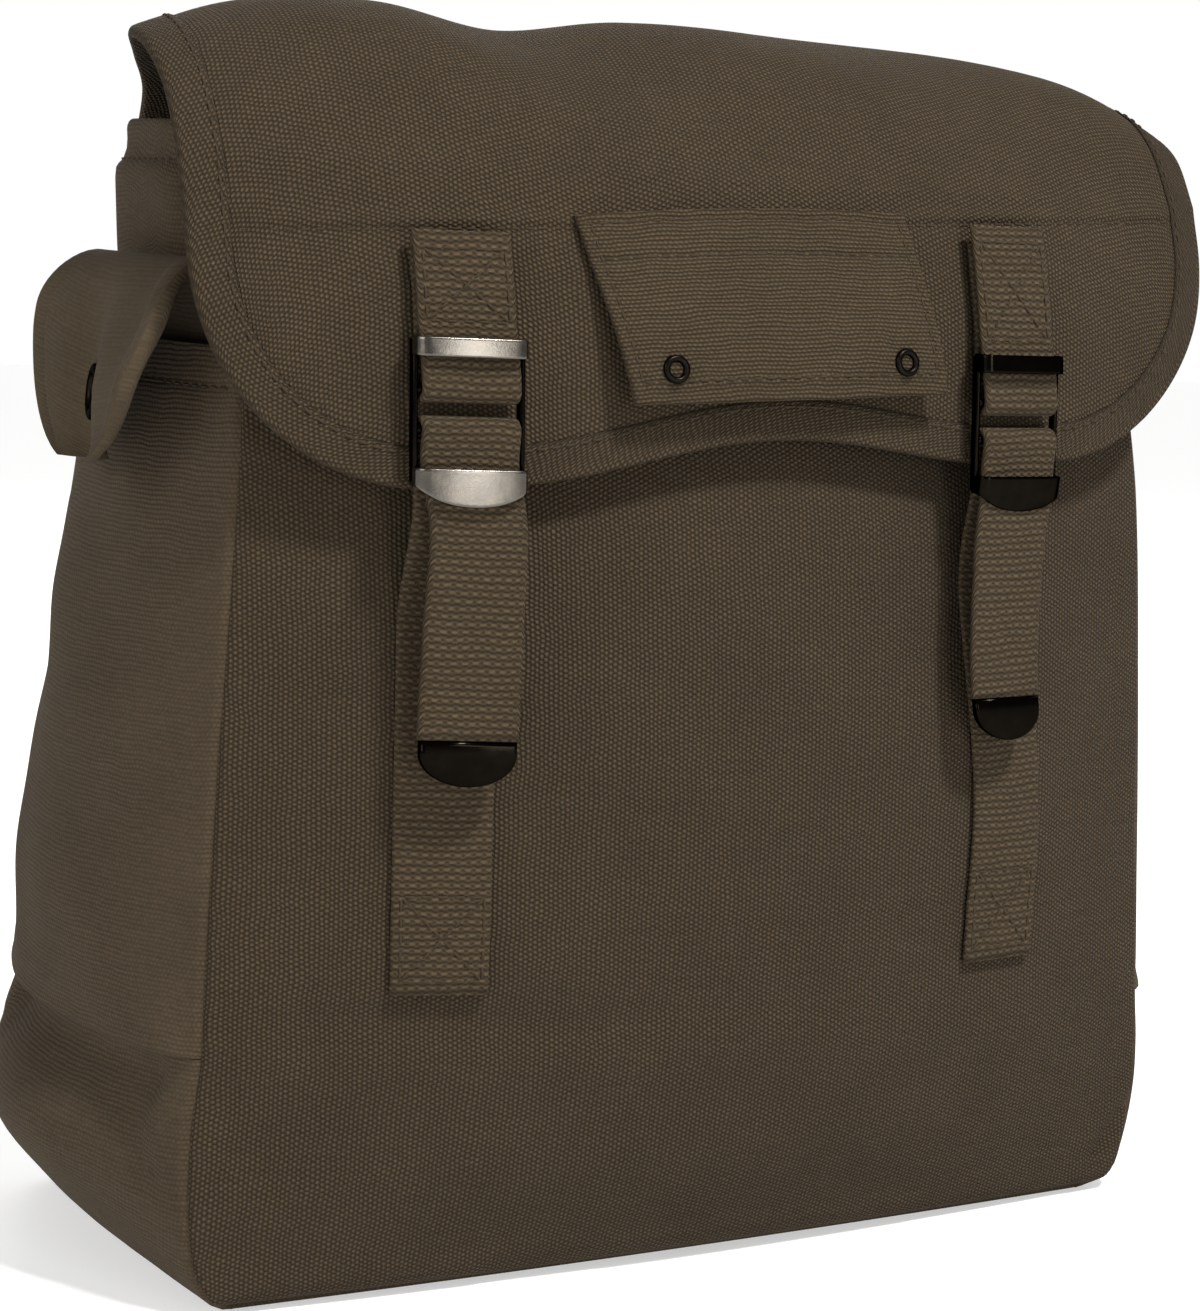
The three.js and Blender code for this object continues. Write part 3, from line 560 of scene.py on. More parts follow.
@dataclass(frozen=True)
class MetalFinish:
    """A blackened metal with light wear in random patches."""

    name: str
    colour: tuple[float, float, float]
    roughness: float = 0.2
    glance: float = 1.0

    def material(self) -> bpy.types.Material:
        """Returns the metal's material, made once."""
        known = bpy.data.materials.get(self.name)
        if known:
            return known
        nodes = NodeSheet.new(self.name)
        spot = nodes.add("TexCoord").outputs["Object"]
        cloud = nodes.noise(spot, 260.0, 3.0, 0.6)
        grit = nodes.noise(spot, 2400.0, 2.0, 0.6)
        rub = nodes.remap(cloud, 0.4, 0.75, 0.0, 1.0)
        worn = (self.colour[0] * 1.35, self.colour[1] * 1.3, self.colour[2] * 1.25, 1.0)
        colour = nodes.add("Mix", {0: rub, 6: (*self.colour, 1.0), 7: worn}, data_type="RGBA").outputs[2]
        veil = nodes.remap(cloud, 0.3, 0.7, self.roughness - 0.03, self.roughness + 0.04)
        rough = nodes.sum("ADD", veil, nodes.remap(grit, 0.3, 0.7, -0.02, 0.03))
        bump = nodes.add("Bump", {"Strength": 0.5, "Distance": 0.00003, "Height": grit})
        dents = {"Strength": 0.4, "Distance": 0.00005, "Height": cloud, "Normal": bump.outputs[0]}
        soft = nodes.add("Bump", dents)
        look = {"Base Color": colour, "Roughness": rough, "Normal": soft.outputs[0]}
        shader = nodes.add("BsdfPrincipled", look)
        shader.inputs["Metallic"].default_value = 1.0
        shader.inputs["Specular Tint"].default_value = (self.glance, self.glance, self.glance, 1.0)
        nodes.add("OutputMaterial", {"Surface": shader.outputs[0]})
        return nodes.material


FRONT_DUCK = ClothFinish("front duck", (0.0475, 0.0343, 0.0204))
SIDE_DUCK = ClothFinish("side duck", (0.0535, 0.0394, 0.0245), Weave.RIBBED, 1.3, 2.36, 0.32, 0.5)
# Painted light: the front's duck made a little lighter for the whole flap, standing in for the light
# from above on its top.
FLAP_DUCK_WITH_PAINTED_LIGHT = ClothFinish("flap duck with painted light", (0.0505, 0.0365, 0.0214))
TAB_DUCK = ClothFinish("tab duck", (0.0525, 0.0378, 0.0218), Weave.RIBBED, 1.34, 2.08, 0.75, 1.5)
EAR_DUCK = ClothFinish("ear duck", (0.055, 0.0408, 0.0255), Weave.RIBBED, 1.3, 2.36, 0.12, 0.16)
BIAS_TAPE = ClothFinish("bias tape", (0.05, 0.0362, 0.0213), Weave.DUCK, 2.2, 1.2)
WEBBING = ClothFinish("cotton webbing", (0.0515, 0.0373, 0.0217), Weave.WEBBING, 2.65, 3.68, 0.75, 1.6)
THREAD = ClothFinish("sewing thread", (0.046, 0.034, 0.0206), Weave.RIBBED, 0.5, 0.6, 0.08, 0.3)
# Painted reflection: the black nickel made lighter for the left buckle's top bar and round plate,
# standing in for their brighter reflection.
NICKEL_WITH_PAINTED_REFLECTION = MetalFinish("nickel with painted reflection", (0.108, 0.099, 0.086))
BLACK_NICKEL = MetalFinish("black nickel", (0.006, 0.005, 0.0038), 0.17, 0.35)
BLACK_ENAMEL = MetalFinish("black enamel", (0.005, 0.004, 0.003), 0.14, 0.5)
DULL_BLACK = MetalFinish("dull black", (0.01, 0.0085, 0.007), 0.34, 0.4)


# The bag


class Side(Enum):
    """A side of the bag as a viewer in front sees it."""

    LEFT = -1
    RIGHT = 1

    @property
    def word(self) -> str:
        """The side's name in lower case."""
        return self.name.lower()


@dataclass
class Body:
    """The filled body: front, back, two gussets and a base that turns up both sides."""

    width: float = 278.0
    depth: float = 140.0
    mouth: float = 233.0
    front_swell: float = 25.0
    side_swell: float = 22.0
    back_swell: float = 14.0
    corner_turn: float = 0.5
    sections: Table = Table(
        ("up", "wide", "front", "back", "front_swell", "side_swell", "back_swell"),
        (
            (0.0, 0.925, 0.88, 0.82, 0.12, 0.0, 0.15),
            (0.017, 0.965, 0.94, 0.9, 0.25, 0.12, 0.25),
            (0.052, 0.996, 0.93, 0.96, 0.45, 0.4, 0.4),
            (0.13, 1.01, 0.95, 1.0, 0.75, 0.9, 0.7),
            (0.2, 1.006, 0.965, 0.99, 0.9, 1.04, 0.9),
            (0.266, 0.993, 0.986, 0.97, 1.0, 0.72, 1.0),
            (0.31, 0.99, 0.986, 0.95, 1.0, 0.88, 1.0),
            (0.43, 0.98, 0.986, 0.886, 1.1, 0.95, 1.0),
            (0.64, 0.96, 1.0, 0.77, 1.1, 0.8, 0.9),
            (0.86, 0.935, 1.0, 0.657, 0.9, 0.6, 0.7),
            (1.0, 0.914, 0.95, 0.58, 0.67, 0.5, 0.5),
        ),
    )
    front_folds: tuple[Fold, ...] = (
        Fold((138.0, 27.0), (128.0, 12.0), 2.6, -1.6),
        Fold((136.0, 32.0), (124.0, 17.0), 3.5, 0.9),
        Fold((-112.0, 70.0), (-30.0, 68.0), 7.0, -1.3),
        Fold((-108.0, 82.0), (-40.0, 81.0), 9.0, 0.4),
        Fold((-44.0, 90.0), (132.0, 96.0), 1.8, -0.35),
        Fold((70.0, 7.0), (118.0, 6.0), 2.5, -0.9),
        Fold((-60.0, 6.0), (-30.0, 5.0), 2.4, -0.8),
        Fold((-132.0, 150.0), (-129.0, 214.0), 5.0, -0.5),
    )
    side_folds: tuple[Fold, ...] = (
        Fold((-50.0, 120.0), (20.0, 190.0), 14.0, 0.9),
        Fold((-40.0, 205.0), (30.0, 196.0), 9.0, -0.9),
        Fold((10.0, 80.0), (24.0, 150.0), 12.0, -0.8),
        Fold((-60.0, 66.0), (50.0, 66.0), 4.5, 1.6),
    )
    riser_folds: tuple[Fold, ...] = (
        Fold((-52.0, 55.0), (34.0, 56.0), 6.0, -4.5),
        Fold((-50.0, 48.0), (26.0, 50.0), 6.0, -2.5),
        Fold((-44.0, 46.0), (-54.0, 34.0), 5.0, -2.5),
        Fold((-16.0, 34.0), (34.0, 28.0), 11.0, 2.4),
        Fold((30.0, 20.0), (44.0, 44.0), 6.0, -1.2),
    )

    def section(self, z: Array) -> dict[str, Array]:
        """Returns the half width, faces and swells of the body at a height."""
        up = np.asarray(z, float) / self.mouth
        read = self.sections.read
        return {
            "half": read("wide", up) * self.width / 2,
            "front": -read("front", up) * self.depth / 2,
            "back": read("back", up) * self.depth / 2,
            "front_swell": read("front_swell", up) * self.front_swell,
            "side_swell": read("side_swell", up) * self.side_swell,
            "back_swell": read("back_swell", up) * self.back_swell,
        }

    def foot_turn(self, z: Array) -> Array:
        """Returns how far the front and back turn in at their foot, over the base."""
        return rolled(z - CANVAS - SEAM_GAP, 4.5, 1.6)

    def front_relief(self, x: Array, z: Array) -> Array:
        """Returns how far the front's folds stand out of its plain shape."""
        calm = smooth(z / 25.0) * smooth((150.0 - np.abs(x)) / 30.0)
        return folded(self.front_folds, x, z) + 0.45 * ripples(x, z, 11, 62.0) * calm

    def front_y(self, x: Array, z: Array) -> Array:
        """Returns where the front's outer face is at a place on it."""
        s = self.section(z)
        swell = s["front_swell"] * (1 - np.minimum(1, np.abs(x) / s["half"]) ** 2)
        return s["front"] - swell - self.front_relief(x, z)

    def front(self, u: Array, z: Array, inset: float) -> Array:
        """Returns a point of the front at a share across, a height and a depth."""
        s = self.section(z)
        reach = 1.0 - self.corner_turn / s["half"]
        x = u * reach * (s["half"] - inset)
        turn = seamed((1 - np.abs(u)) * s["half"]) + self.foot_turn(z)
        y = s["front"] + inset - s["front_swell"] * (1 - u * u) + turn
        return point(x, y - self.front_relief(x, z), z)

    def back(self, u: Array, z: Array, inset: float) -> Array:
        """Returns a point of the back at a share across, a height and a depth."""
        s = self.section(z)
        x = u * (1.0 - self.corner_turn / s["half"]) * (s["half"] - inset)
        turn = seamed((1 - np.abs(u)) * s["half"]) + self.foot_turn(z)
        relief = 0.6 * ripples(x, z, 23, 70.0) * smooth(z / 25.0) * smooth((205.0 - z) / 25.0)
        return point(x, s["back"] - inset + s["back_swell"] * (1 - u * u) - turn + relief, z)

    def side_x(self, y: Array, z: Array, inset: float) -> Array:
        """Returns the half width of the gusset's plain shape at a depth of the bag."""
        s = self.section(z)
        v = (2 * y - s["front"] - s["back"]) / (s["back"] - s["front"] - 2 * inset)
        return s["half"] - inset + s["side_swell"] * np.maximum(0, 1 - v * v)

    def side(self, side: Side, v: Array, z: Array, inset: float) -> Array:
        """Returns a point of a gusset or of the riser under it."""
        s = self.section(z)
        span = s["back"] - s["front"]
        y = mix(s["front"] + inset, s["back"] - inset, (v * (1 - 2 * self.corner_turn / span) + 1) / 2)
        turn = seamed((1 - np.abs(v)) * span / 2)
        upper = np.asarray(z) > BASE_RISE - 0.2
        folds = np.where(upper, folded(self.side_folds, y, z), folded(self.riser_folds, y, z))
        wave = ripples(y + 40.0 * side.value, z, 31 + side.value, 48.0)
        hold = smooth((1 - np.abs(v)) * 6.0)
        relief = (folds + np.where(upper, 0.8, 0.4) * wave * smooth(z / 20.0)) * hold
        x = s["half"] - inset + s["side_swell"] * (1 - v * v) - turn + relief
        return point(side.value * x, y, z)


@dataclass
class BodyShell:
    """The sewn panels of the body."""

    body: Body
    step: float = 2.4
    lip: float = 1.9
    pull: float = 0.35

    def build(self) -> None:
        """Makes the panels with their hems and rows of thread."""
        body = self.body
        bottom = CANVAS + SEAM_GAP
        half = body.width / 2
        u = places(-half, half, self.step) / half * (1 - 2 * SEAM_GAP / body.width)
        z = places(bottom, body.mouth, self.step, [body.mouth - HEM])
        for word, surface in (("front", body.front), ("back", body.back)):
            grids = [surface(u[None], z[:, None], inset) for inset in (0.0, CANVAS)]
            piece = sheet(f"{word}_cloth", grids[0], grids[1], FRONT_DUCK.material())
            dressed(piece, "canvas", [f"{word}_panel"])
        self.base()
        for side in Side:
            self.gusset(side)

    def gusset(self, side: Side) -> None:
        """Makes one gusset with its hem at the mouth and its seam over the riser."""
        body = self.body
        v = places(-70.0, 70.0, self.step) / 70.0 * (1 - SEAM_GAP / body.depth * 2.4)
        z = places(BASE_RISE, body.mouth, self.step, [body.mouth - HEM, BASE_RISE + 3.0])
        lip = self.lip * bell(z - BASE_RISE, 3.2)[:, None]
        pull = self.pull * bell(z - body.mouth + HEM, 0.9)[:, None]
        outer = body.side(side, v[None], z[:, None], 0.0)
        hold = smooth((1 - np.abs(v)) * 12.0)[None]
        outer[..., 0] += side.value * (lip - pull) * hold
        inner = body.side(side, v[None], z[:, None], CANVAS)
        piece = sheet(f"{side.word}_gusset_cloth", outer, inner, SIDE_DUCK.material())
        dressed(piece, "canvas_side", [f"{side.word}_gusset"])

        def hem_line(share: Array, height: float) -> Array:
            """Returns points along the hem at the mouth."""
            level = np.full_like(share, body.mouth - HEM)
            return body.side(side, mix(-0.94, 0.94, share), level, -height)

        sewing = Stitching(f"{side.word}_gusset_stitching")
        sewing.row(hem_line)
        sewing.build(THREAD.material(), "canvas_side")

    def base(self) -> None:
        """Makes the base, which turns up both sides."""
        body = self.body
        v = places(-70.0, 70.0, self.step) / 70.0 * (1 - SEAM_GAP / body.depth * 2)
        riser = places(0.0, BASE_RISE - SEAM_GAP, self.step)[::-1]
        floor = np.linspace(-1, 1, 90)[1:-1]

        def under(u: Array, value: Array, inset: float) -> Array:
            """Returns a point of the flat floor."""
            s = body.section(0.0)
            near = s["front"] - s["front_swell"] * (1 - u * u)
            far = s["back"] + s["back_swell"] * (1 - u * u)
            x = u * (s["half"] + s["side_swell"] * (1 - value * value))
            return point(x, mix(near, far, (value * 0.985 + 1) / 2), inset + 0 * u * value)

        def rows(inset: float) -> Array:
            """Returns the left riser, the floor and the right riser as one grid."""
            lifted = np.maximum(riser, inset)[:, None]
            left = body.side(Side.LEFT, v[None], lifted, inset)
            right = body.side(Side.RIGHT, v[None], lifted[::-1], inset)
            return np.concatenate([left, under(floor[:, None], v[None], inset), right])

        piece = sheet("base_cloth", rows(0.0), rows(CANVAS), SIDE_DUCK.material())
        dressed(piece, "canvas", ["base_panel"])


@dataclass
class Collar:
    """The throat collar that rises from the mouth and closes under the flap."""

    body: Body
    top: float = 286.0
    tuck: float = 20.0
    width: float = 272.0
    depth: float = 74.0
    squareness: float = 0.52
    inset: float = 2 * CANVAS + LOOSE_GAP + SEAM_GAP
    ring: Table = Table(
        ("up", "wide", "front", "back"),
        (
            (0.0, 0.98, 0.93, 0.43),
            (0.4, 0.985, 0.84, 0.42),
            (0.75, 1.0, 0.72, 0.375),
            (0.86, 0.975, 0.68, 0.34),
            (1.0, 0.972, 0.63, 0.31),
        ),
    )

    def mouth_ring(self, turn: Array, z: Array, deep: float) -> tuple[Array, Array]:
        """Returns places just inside the body's panels.

        Args:
            turn: Share of the way round, from the front's left end.
            z: Height in the body.
            deep: Depth in from the panels' outer faces.
        """
        quarter = np.floor(turn * 4).astype(int) % 4
        along = 2 * (turn * 4 - np.floor(turn * 4)) - 1
        s = self.body.section(z)
        front_y = s["front"] + deep - s["front_swell"] * (1 - along**2)
        back_y = s["back"] - deep + s["back_swell"] * (1 - along**2)
        side_x = s["half"] - deep + s["side_swell"] * (1 - along**2)
        span = [s["front"] + deep, s["back"] - deep]
        level = along * (s["half"] - deep)
        x = np.choose(quarter, [level, side_x, -level, -side_x])
        y = np.choose(
            quarter, [front_y, mix(*span, (along + 1) / 2), back_y, mix(*span, (1 - along) / 2)]
        )
        return x, y

    def surface(self, turn: Array, z: Array, inset: float) -> Array:
        """Returns a point of the collar.

        Args:
            turn: Share of the way round, from the front's left end.
            z: Height before the lean.
            inset: Depth in from the outer face.
        """
        turn, z = np.broadcast_arrays(turn, z)
        x, y = self.mouth_ring(turn, np.minimum(z, self.body.mouth), self.inset + inset)
        up = (z - self.body.mouth) / (self.top - self.body.mouth)
        wide = self.ring.read("wide", up) * self.width / 2 - inset
        front = -self.ring.read("front", up) * self.depth + inset
        back = self.ring.read("back", up) * self.depth - inset
        centre = (front + back) / 2
        angle = np.arctan2((y - centre) / (back - front) * 2, x / wide)
        soft = 0.9 * ripples(angle * 40.0, z, 5, 30.0) * smooth(up / 0.3) * smooth((1.3 - up) / 0.6)
        round_x = np.sign(np.cos(angle)) * np.abs(np.cos(angle)) ** self.squareness
        round_y = np.sign(np.sin(angle)) * np.abs(np.sin(angle)) ** self.squareness
        weight = smooth((up + 0.02) / 0.35)
        groove = 0.35 * bell(z - self.top + HEM, 0.9) + rolled(self.top - z, 2.6, 1.3)
        ring_x = (wide + soft - groove) * round_x
        ring_y = centre + ((back - front) / 2 + soft * 0.6 - groove) * round_y
        return point(mix(x, ring_x, weight), mix(y, ring_y, weight), z)

    def build(self) -> None:
        """Makes the collar and the thread along its hem."""
        mouth = self.body.mouth
        z = places(mouth - self.tuck, self.top, 2.4, [self.top - HEM])
        start = 0.625
        turn = (np.arange(300) / 300.0 + start) % 1.0
        grids = [self.surface(turn[None], z[:, None], inset) for inset in (0.0, CANVAS)]
        piece = sheet("collar_cloth", grids[0], grids[1], SIDE_DUCK.material(), Wrap.RING)
        dressed(piece, "canvas_side", ["throat_collar"])

        def hem_line(share: Array, height: float) -> Array:
            """Returns points round the collar's hem."""
            return self.surface((share + start) % 1.0, np.full_like(share, self.top - HEM), -height)

        sewing = Stitching("collar_stitching")
        sewing.row(hem_line, 0.002, 0.998)
        sewing.build(THREAD.material(), "canvas_side")


@dataclass(frozen=True)
class RingFitting:
    """A set eyelet or grommet: a barrel with a rounded flange on each face of the cloth."""

    bore: float
    radius: float
    cloth: float

    def build(self, name: str, centre: Array, up: Array, out: Array, node: str) -> None:
        """Makes the fitting.

        Args:
            name: Name of the piece.
            centre: Middle of its hole in the cloth.
            up: Direction up the cloth.
            out: Direction out of the cloth.
            node: CAD node that it stands for.
        """
        out = unit(out - up * (out @ up))
        level = np.cross(out, up)
        inside, high = self.cloth / 2 + 0.05, 1.05
        mid, half = (self.bore + self.radius) / 2, (self.radius - self.bore) / 2
        arc = np.linspace(0, np.pi, 9)
        over = [(mid - half * np.cos(a), inside + high * np.sin(a) ** 0.8) for a in arc]
        profile = over + [(self.bore + 0.35, inside - 0.1), (self.bore + 0.35, -inside + 0.1)]
        profile += [(r, -h) for r, h in reversed(over)]
        turns = np.linspace(0, 2 * np.pi, 41)[:-1]
        radii, heights = np.array(profile).T
        ring = centre + level * (radii[:, None] * np.cos(turns))[..., None]
        ring = ring + up * (radii[:, None] * np.sin(turns))[..., None] + out * heights[:, None, None]
        ring = np.swapaxes(np.concatenate([ring, ring[:1]]), 0, 1)
        maker = MeshMaker()
        closed = np.concatenate([ring, ring[:1]])
        maker.grid(closed, laid_flat(closed))
        dressed(maker.build(name, DULL_BLACK.material()), "metal", [node])


@dataclass
class Ear:
    """A storm ear that folds out of the mouth over a gusset, with a grommet near its tip."""

    body: Body
    side: Side
    forward: float
    length: float = 92.0
    width: float = 72.0
    root_width: float = 50.0
    root_forward: float = 6.0
    curl: float = 4.5
    swing: float = 7.5
    valley: float = 5.0
    belly: float = 2.0
    rope: float = 1.5
    shoulder: float = 0.52
    hem: float = 7.0
    from_tip: float = 15.0
    path: Table = Table(
        ("along", "out", "up"),
        (
            (0.0, 0.0, -0.17),
            (0.16, 0.0, -0.01),
            (0.28, 0.012, 0.11),
            (0.38, 0.035, 0.185),
            (0.46, 0.09, 0.205),
            (0.55, 0.135, 0.155),
            (0.68, 0.15, 0.03),
            (0.84, 0.155, -0.15),
            (1.0, 0.16, -0.335),
        ),
    )

    def part(self, along: Array, column: str) -> Array:
        """Returns how far out or up the ear's middle has come at a share of its length."""
        return self.path.read(column, along) * self.length

    def loose(self, along: Array) -> Array:
        """Returns how free the cloth is of the bag, from 0 to 1."""
        return smooth((along - 0.4) / 0.25)

    def curled(self, along: Array, across: Array) -> Array:
        """Returns how far the loose cloth curls, swings and cups away from the bag."""
        loose = self.loose(along)
        curl = self.curl * loose * np.abs(across) ** 3
        curl = curl + 0.8 * loose * ripples(across * 30.0, along * 90.0, 7 + self.side.value, 34.0)
        ahead = (1 - across) / 2
        free = smooth((along - 0.46) / 0.36)
        valley = self.valley * bell(across + 0.12 - along * 0.3, 0.3)
        belly = self.belly * bell(along - 0.82, 0.14)
        return curl + free * (self.swing * ahead**1.3 - valley) + belly

    def thickened(self, along: Array, across: Array, width: Array, depth: float) -> Array:
        """Returns a depth through the cloth with the hem, the rounded rim and the roped front edge.

        Args:
            along: Share of the length.
            across: Place from -1 to 1.
            width: The ear's width there, in millimetres.
            depth: Depth of the plain cloth: 0 on its outer face.
        """
        loose = self.loose(along)
        edge = np.minimum((1 - np.abs(across)) * width / 2, (1.0 - along) * self.length * 1.5)
        hem = loose * (0.9 * smooth((self.hem - edge) / 2.5) - 0.5 * bell(edge - self.hem, 0.9))
        rim = loose * rolled(edge, 2.0, 0.8)
        rope = self.rope * bell((1 + across) * width / 2 - 3.0, 3.2) * loose * smooth((1 - along) / 0.2)
        if depth > CANVAS / 2:
            return depth + 0.3 * hem - rim * 0.6 + rope
        return depth - hem + rim - rope

    def surface(self, along: Array, across: Array, depth: float) -> Array:
        """Returns a point of the ear, with along from its tucked root and across from -1 to 1."""
        along, across = np.broadcast_arrays(np.asarray(along, float), np.asarray(across, float))
        taper = np.clip((along - self.shoulder) / (1.004 - self.shoulder), 0, 1)
        spread = smooth((along - 0.42) / 0.3)
        width = mix(self.root_width, self.width, spread)
        curve = (1 - taper**2.6) ** (1 / 2.4)
        y = -self.forward - mix(self.root_forward, 0.0, spread) + across * width / 2 * curve
        fall = self.part(along + NUDGE, "up") - self.part(along - NUDGE, "up")
        run = self.part(along + NUDGE, "out") - self.part(along - NUDGE, "out")
        length = np.hypot(fall, run)
        depth = self.thickened(along, across, width, depth)
        out = self.part(along, "out") + self.curled(along, across) - depth * fall / length
        z = self.body.mouth + self.part(along, "up") + depth * run / length
        tucked = np.where(along < 0.2, np.minimum(z, self.body.mouth), self.body.mouth)
        side_x = self.body.side_x(y, tucked, CANVAS + LOOSE_GAP)
        return point(self.side.value * (side_x + out), y, z)

    def hem_line(self, across: float) -> Line:
        """Returns the line of thread along one hem."""
        return lambda share, height: self.surface(
            mix(0.42, 0.86, share), np.full_like(share, across), -height
        )

    def build(self) -> None:
        """Makes the ear, its hem's thread and its grommet."""
        word = self.side.word
        along = places(0.0, 0.99, 0.018, [0.9])
        across = places(-1.0, 1.0, 0.06, [-0.8, 0.8])
        grids = [self.surface(along[:, None], across[None], depth) for depth in (0.0, CANVAS)]
        piece = sheet(f"{word}_ear_cloth", grids[0], grids[1], EAR_DUCK.material())
        dressed(piece, "canvas_side", [f"{word}_ear"])
        sewing = Stitching(f"{word}_ear_stitching")
        inner = 1 - 2 * self.hem / self.width
        sewing.row(self.hem_line(-inner))
        sewing.row(self.hem_line(inner))
        sewing.build(THREAD.material(), "canvas_side")
        at = 1 - self.from_tip / self.length

        def spot(along_at: float, across_at: float) -> Array:
            """Returns one point half way through the cloth."""
            return self.surface(np.array([along_at]), np.array([across_at]), CANVAS / 2)[0]

        centre = spot(at, 0.0)
        up = unit(spot(at - 0.05, 0.0) - centre)
        out = unit(np.cross(up, spot(at, 0.15) - centre))
        RingFitting(4.0, 7.0, CANVAS).build(f"{word}_grommet", centre, up, out, f"{word}_ear_grommet")


@dataclass
class Flap:
    """The flap over the top: crown, face, bound edge and the welt that holds the straps."""

    body: Body
    width: float = 288.0
    seam_width: float = 236.0
    crown: float = 317.0
    reach: float = 98.0
    low_edge: float = 206.5
    corner: float = 56.0
    tilt: float = 0.05
    arch_rise: float = 9.0
    arch_width: float = 150.0
    shoulder: float = 278.0
    seam_height: float = 222.0
    tape_width: float = 10.0
    tape: float = 0.8
    tape_gap: float = 0.7
    sewn_to_back: float = 0.1
    welt_height: float = 267.5
    top: Table = Table(
        ("along", "mid_up", "middle", "edge_up", "edge", "wide"),
        (
            (0.0, 0.0, 0.0, 0.0, 0.0, 0.0),
            (0.14, 0.3, 0.02, 0.3, 0.02, 0.0),
            (0.3, 0.62, 0.11, 0.6, 0.085, 0.0),
            (0.44, 0.865, 0.28, 0.75, 0.24, 0.16),
            (0.56, 0.98, 0.47, 0.83, 0.44, 0.56),
            (0.68, 1.0, 0.65, 0.87, 0.62, 0.88),
            (0.8, 0.92, 0.81, 0.84, 0.8, 1.0),
            (0.9, 0.78, 0.92, 0.745, 0.92, 1.0),
            (1.0, 0.59, 1.0, 0.59, 1.0, 1.0),
        ),
    )
    dents: Table = Table(
        ("across", "lift"),
        (
            (-1.0, 0.2),
            (-0.8, 0.8),
            (-0.58, 0.5),
            (-0.34, -0.38),
            (-0.1, -0.05),
            (0.4, 0.05),
            (0.75, 0.3),
            (0.9, 0.1),
            (1.0, -0.7),
        ),
    )
    face: Table = Table(
        ("down", "middle", "edge"),
        (
            (-0.1, 0.875, 0.7),
            (0.0, 0.898, 0.709),
            (0.22, 0.949, 0.755),
            (0.46, 0.99, 0.796),
            (0.74, 1.005, 0.81),
            (1.1, 1.01, 0.81),
        ),
    )

    def face_y(self, x: Array, z: Array) -> Array:
        """Returns where the flap's face is, without its folds."""
        down = (self.shoulder - z) / (self.shoulder - self.low_edge)
        bow = (np.abs(x) / (self.width / 2)) ** 2
        return -self.reach * mix(self.face.read("middle", down), self.face.read("edge", down), bow)

    def relief(self, x: Array, z: Array) -> Array:
        """Returns how far the welt and the face's soft waves stand out."""
        line = self.welt_height + self.tilt * x
        welt = 0.75 * bell(z - line - 1.8, 1.6) - 0.5 * bell(z - line + 0.2, 0.8)
        edge = smooth((self.width / 2 - 12.0 - np.abs(x)) / 25.0) * smooth((line - 3.0 - z) / 8.0)
        between = smooth((np.abs(np.abs(x + 6.0) - 76.0) - 15.0) / 14.0)
        waves = ripples(x, z, 41, 46.0) * edge * between * smooth((z - self.low(x, 0.0) - 8.0) / 14.0)
        return welt * smooth((self.width / 2 - 9.0 - np.abs(x)) / 4.0) + 0.5 * waves

    def face_point(self, x: Array, z: Array, depth: float) -> Array:
        """Returns a point of the flap's face at a depth through the cloth."""
        return point(x, self.face_y(x, z) + depth - self.relief(x, z), z)

    def half_width(self, along: Array) -> Array:
        """Returns half the flap's width at a share along its top."""
        return mix(self.seam_width, self.width, self.top.read("wide", along)) / 2

    def seat(self, x: Array, along: Array) -> tuple[Array, Array]:
        """Returns the depth and height of the crown's plain sheet."""
        read = self.top.read
        u = x / self.half_width(along)
        bow = np.minimum(1, np.abs(u)) ** 2
        s = self.body.section(self.seam_height)
        seam = s["back"] + s["back_swell"] + CANVAS + SEAM_GAP
        seam_edge = seam - s["back_swell"] * (self.seam_width / self.body.width) ** 2
        middle = mix(seam, self.face_y(0.0, self.shoulder), read("middle", along))
        edge = mix(seam_edge, self.face_y(self.width / 2, self.shoulder), read("edge", along))
        lift = self.dents.read("lift", u) * self.arch_rise * read("mid_up", along) ** 3
        climb = mix(read("mid_up", along), read("edge_up", along), bow)
        z = mix(self.seam_height, self.crown, climb) + lift * smooth((1 - along) / 0.2)
        return mix(middle, edge, bow), z

    def top_point(self, x: Array, along: Array, depth: float) -> Array:
        """Returns a point of the flap's top at a depth through the cloth."""
        x, along = np.broadcast_arrays(np.asarray(x, float), np.asarray(along, float))
        y, z = self.seat(x, along)
        y1, z1 = self.seat(x, np.minimum(1, along + NUDGE))
        y0, z0 = self.seat(x, np.maximum(0, along - NUDGE))
        run = unit(np.stack([y1 - y0, z1 - z0], -1))
        loose = smooth((along - 0.3) / 0.2) * smooth((1 - along) / 0.15)
        wave = 1.1 * ripples(x, along * 220.0, 17, 60.0) * loose
        near = smooth((self.half_width(along) - 10.0 - np.abs(x)) / 22.0)
        deep = depth - wave * near
        return point(x, y - deep * run[..., 1], z + deep * run[..., 0])

    def low(self, x: Array, inset: float) -> Array:
        """Returns the height of the flap's lower outline."""
        x = np.asarray(x, float)
        hump = self.arch_rise * np.cos(np.pi * x / self.arch_width) ** 2
        arch = np.where(np.abs(x) < self.arch_width / 2, hump, 0.0)
        radius = self.corner - inset
        past = np.clip(np.abs(x) - (self.width / 2 - inset - radius), 0, radius)
        turn = radius - np.sqrt(np.maximum(radius * radius - past * past, 0))
        return self.low_edge + inset + self.tilt * x + arch + turn

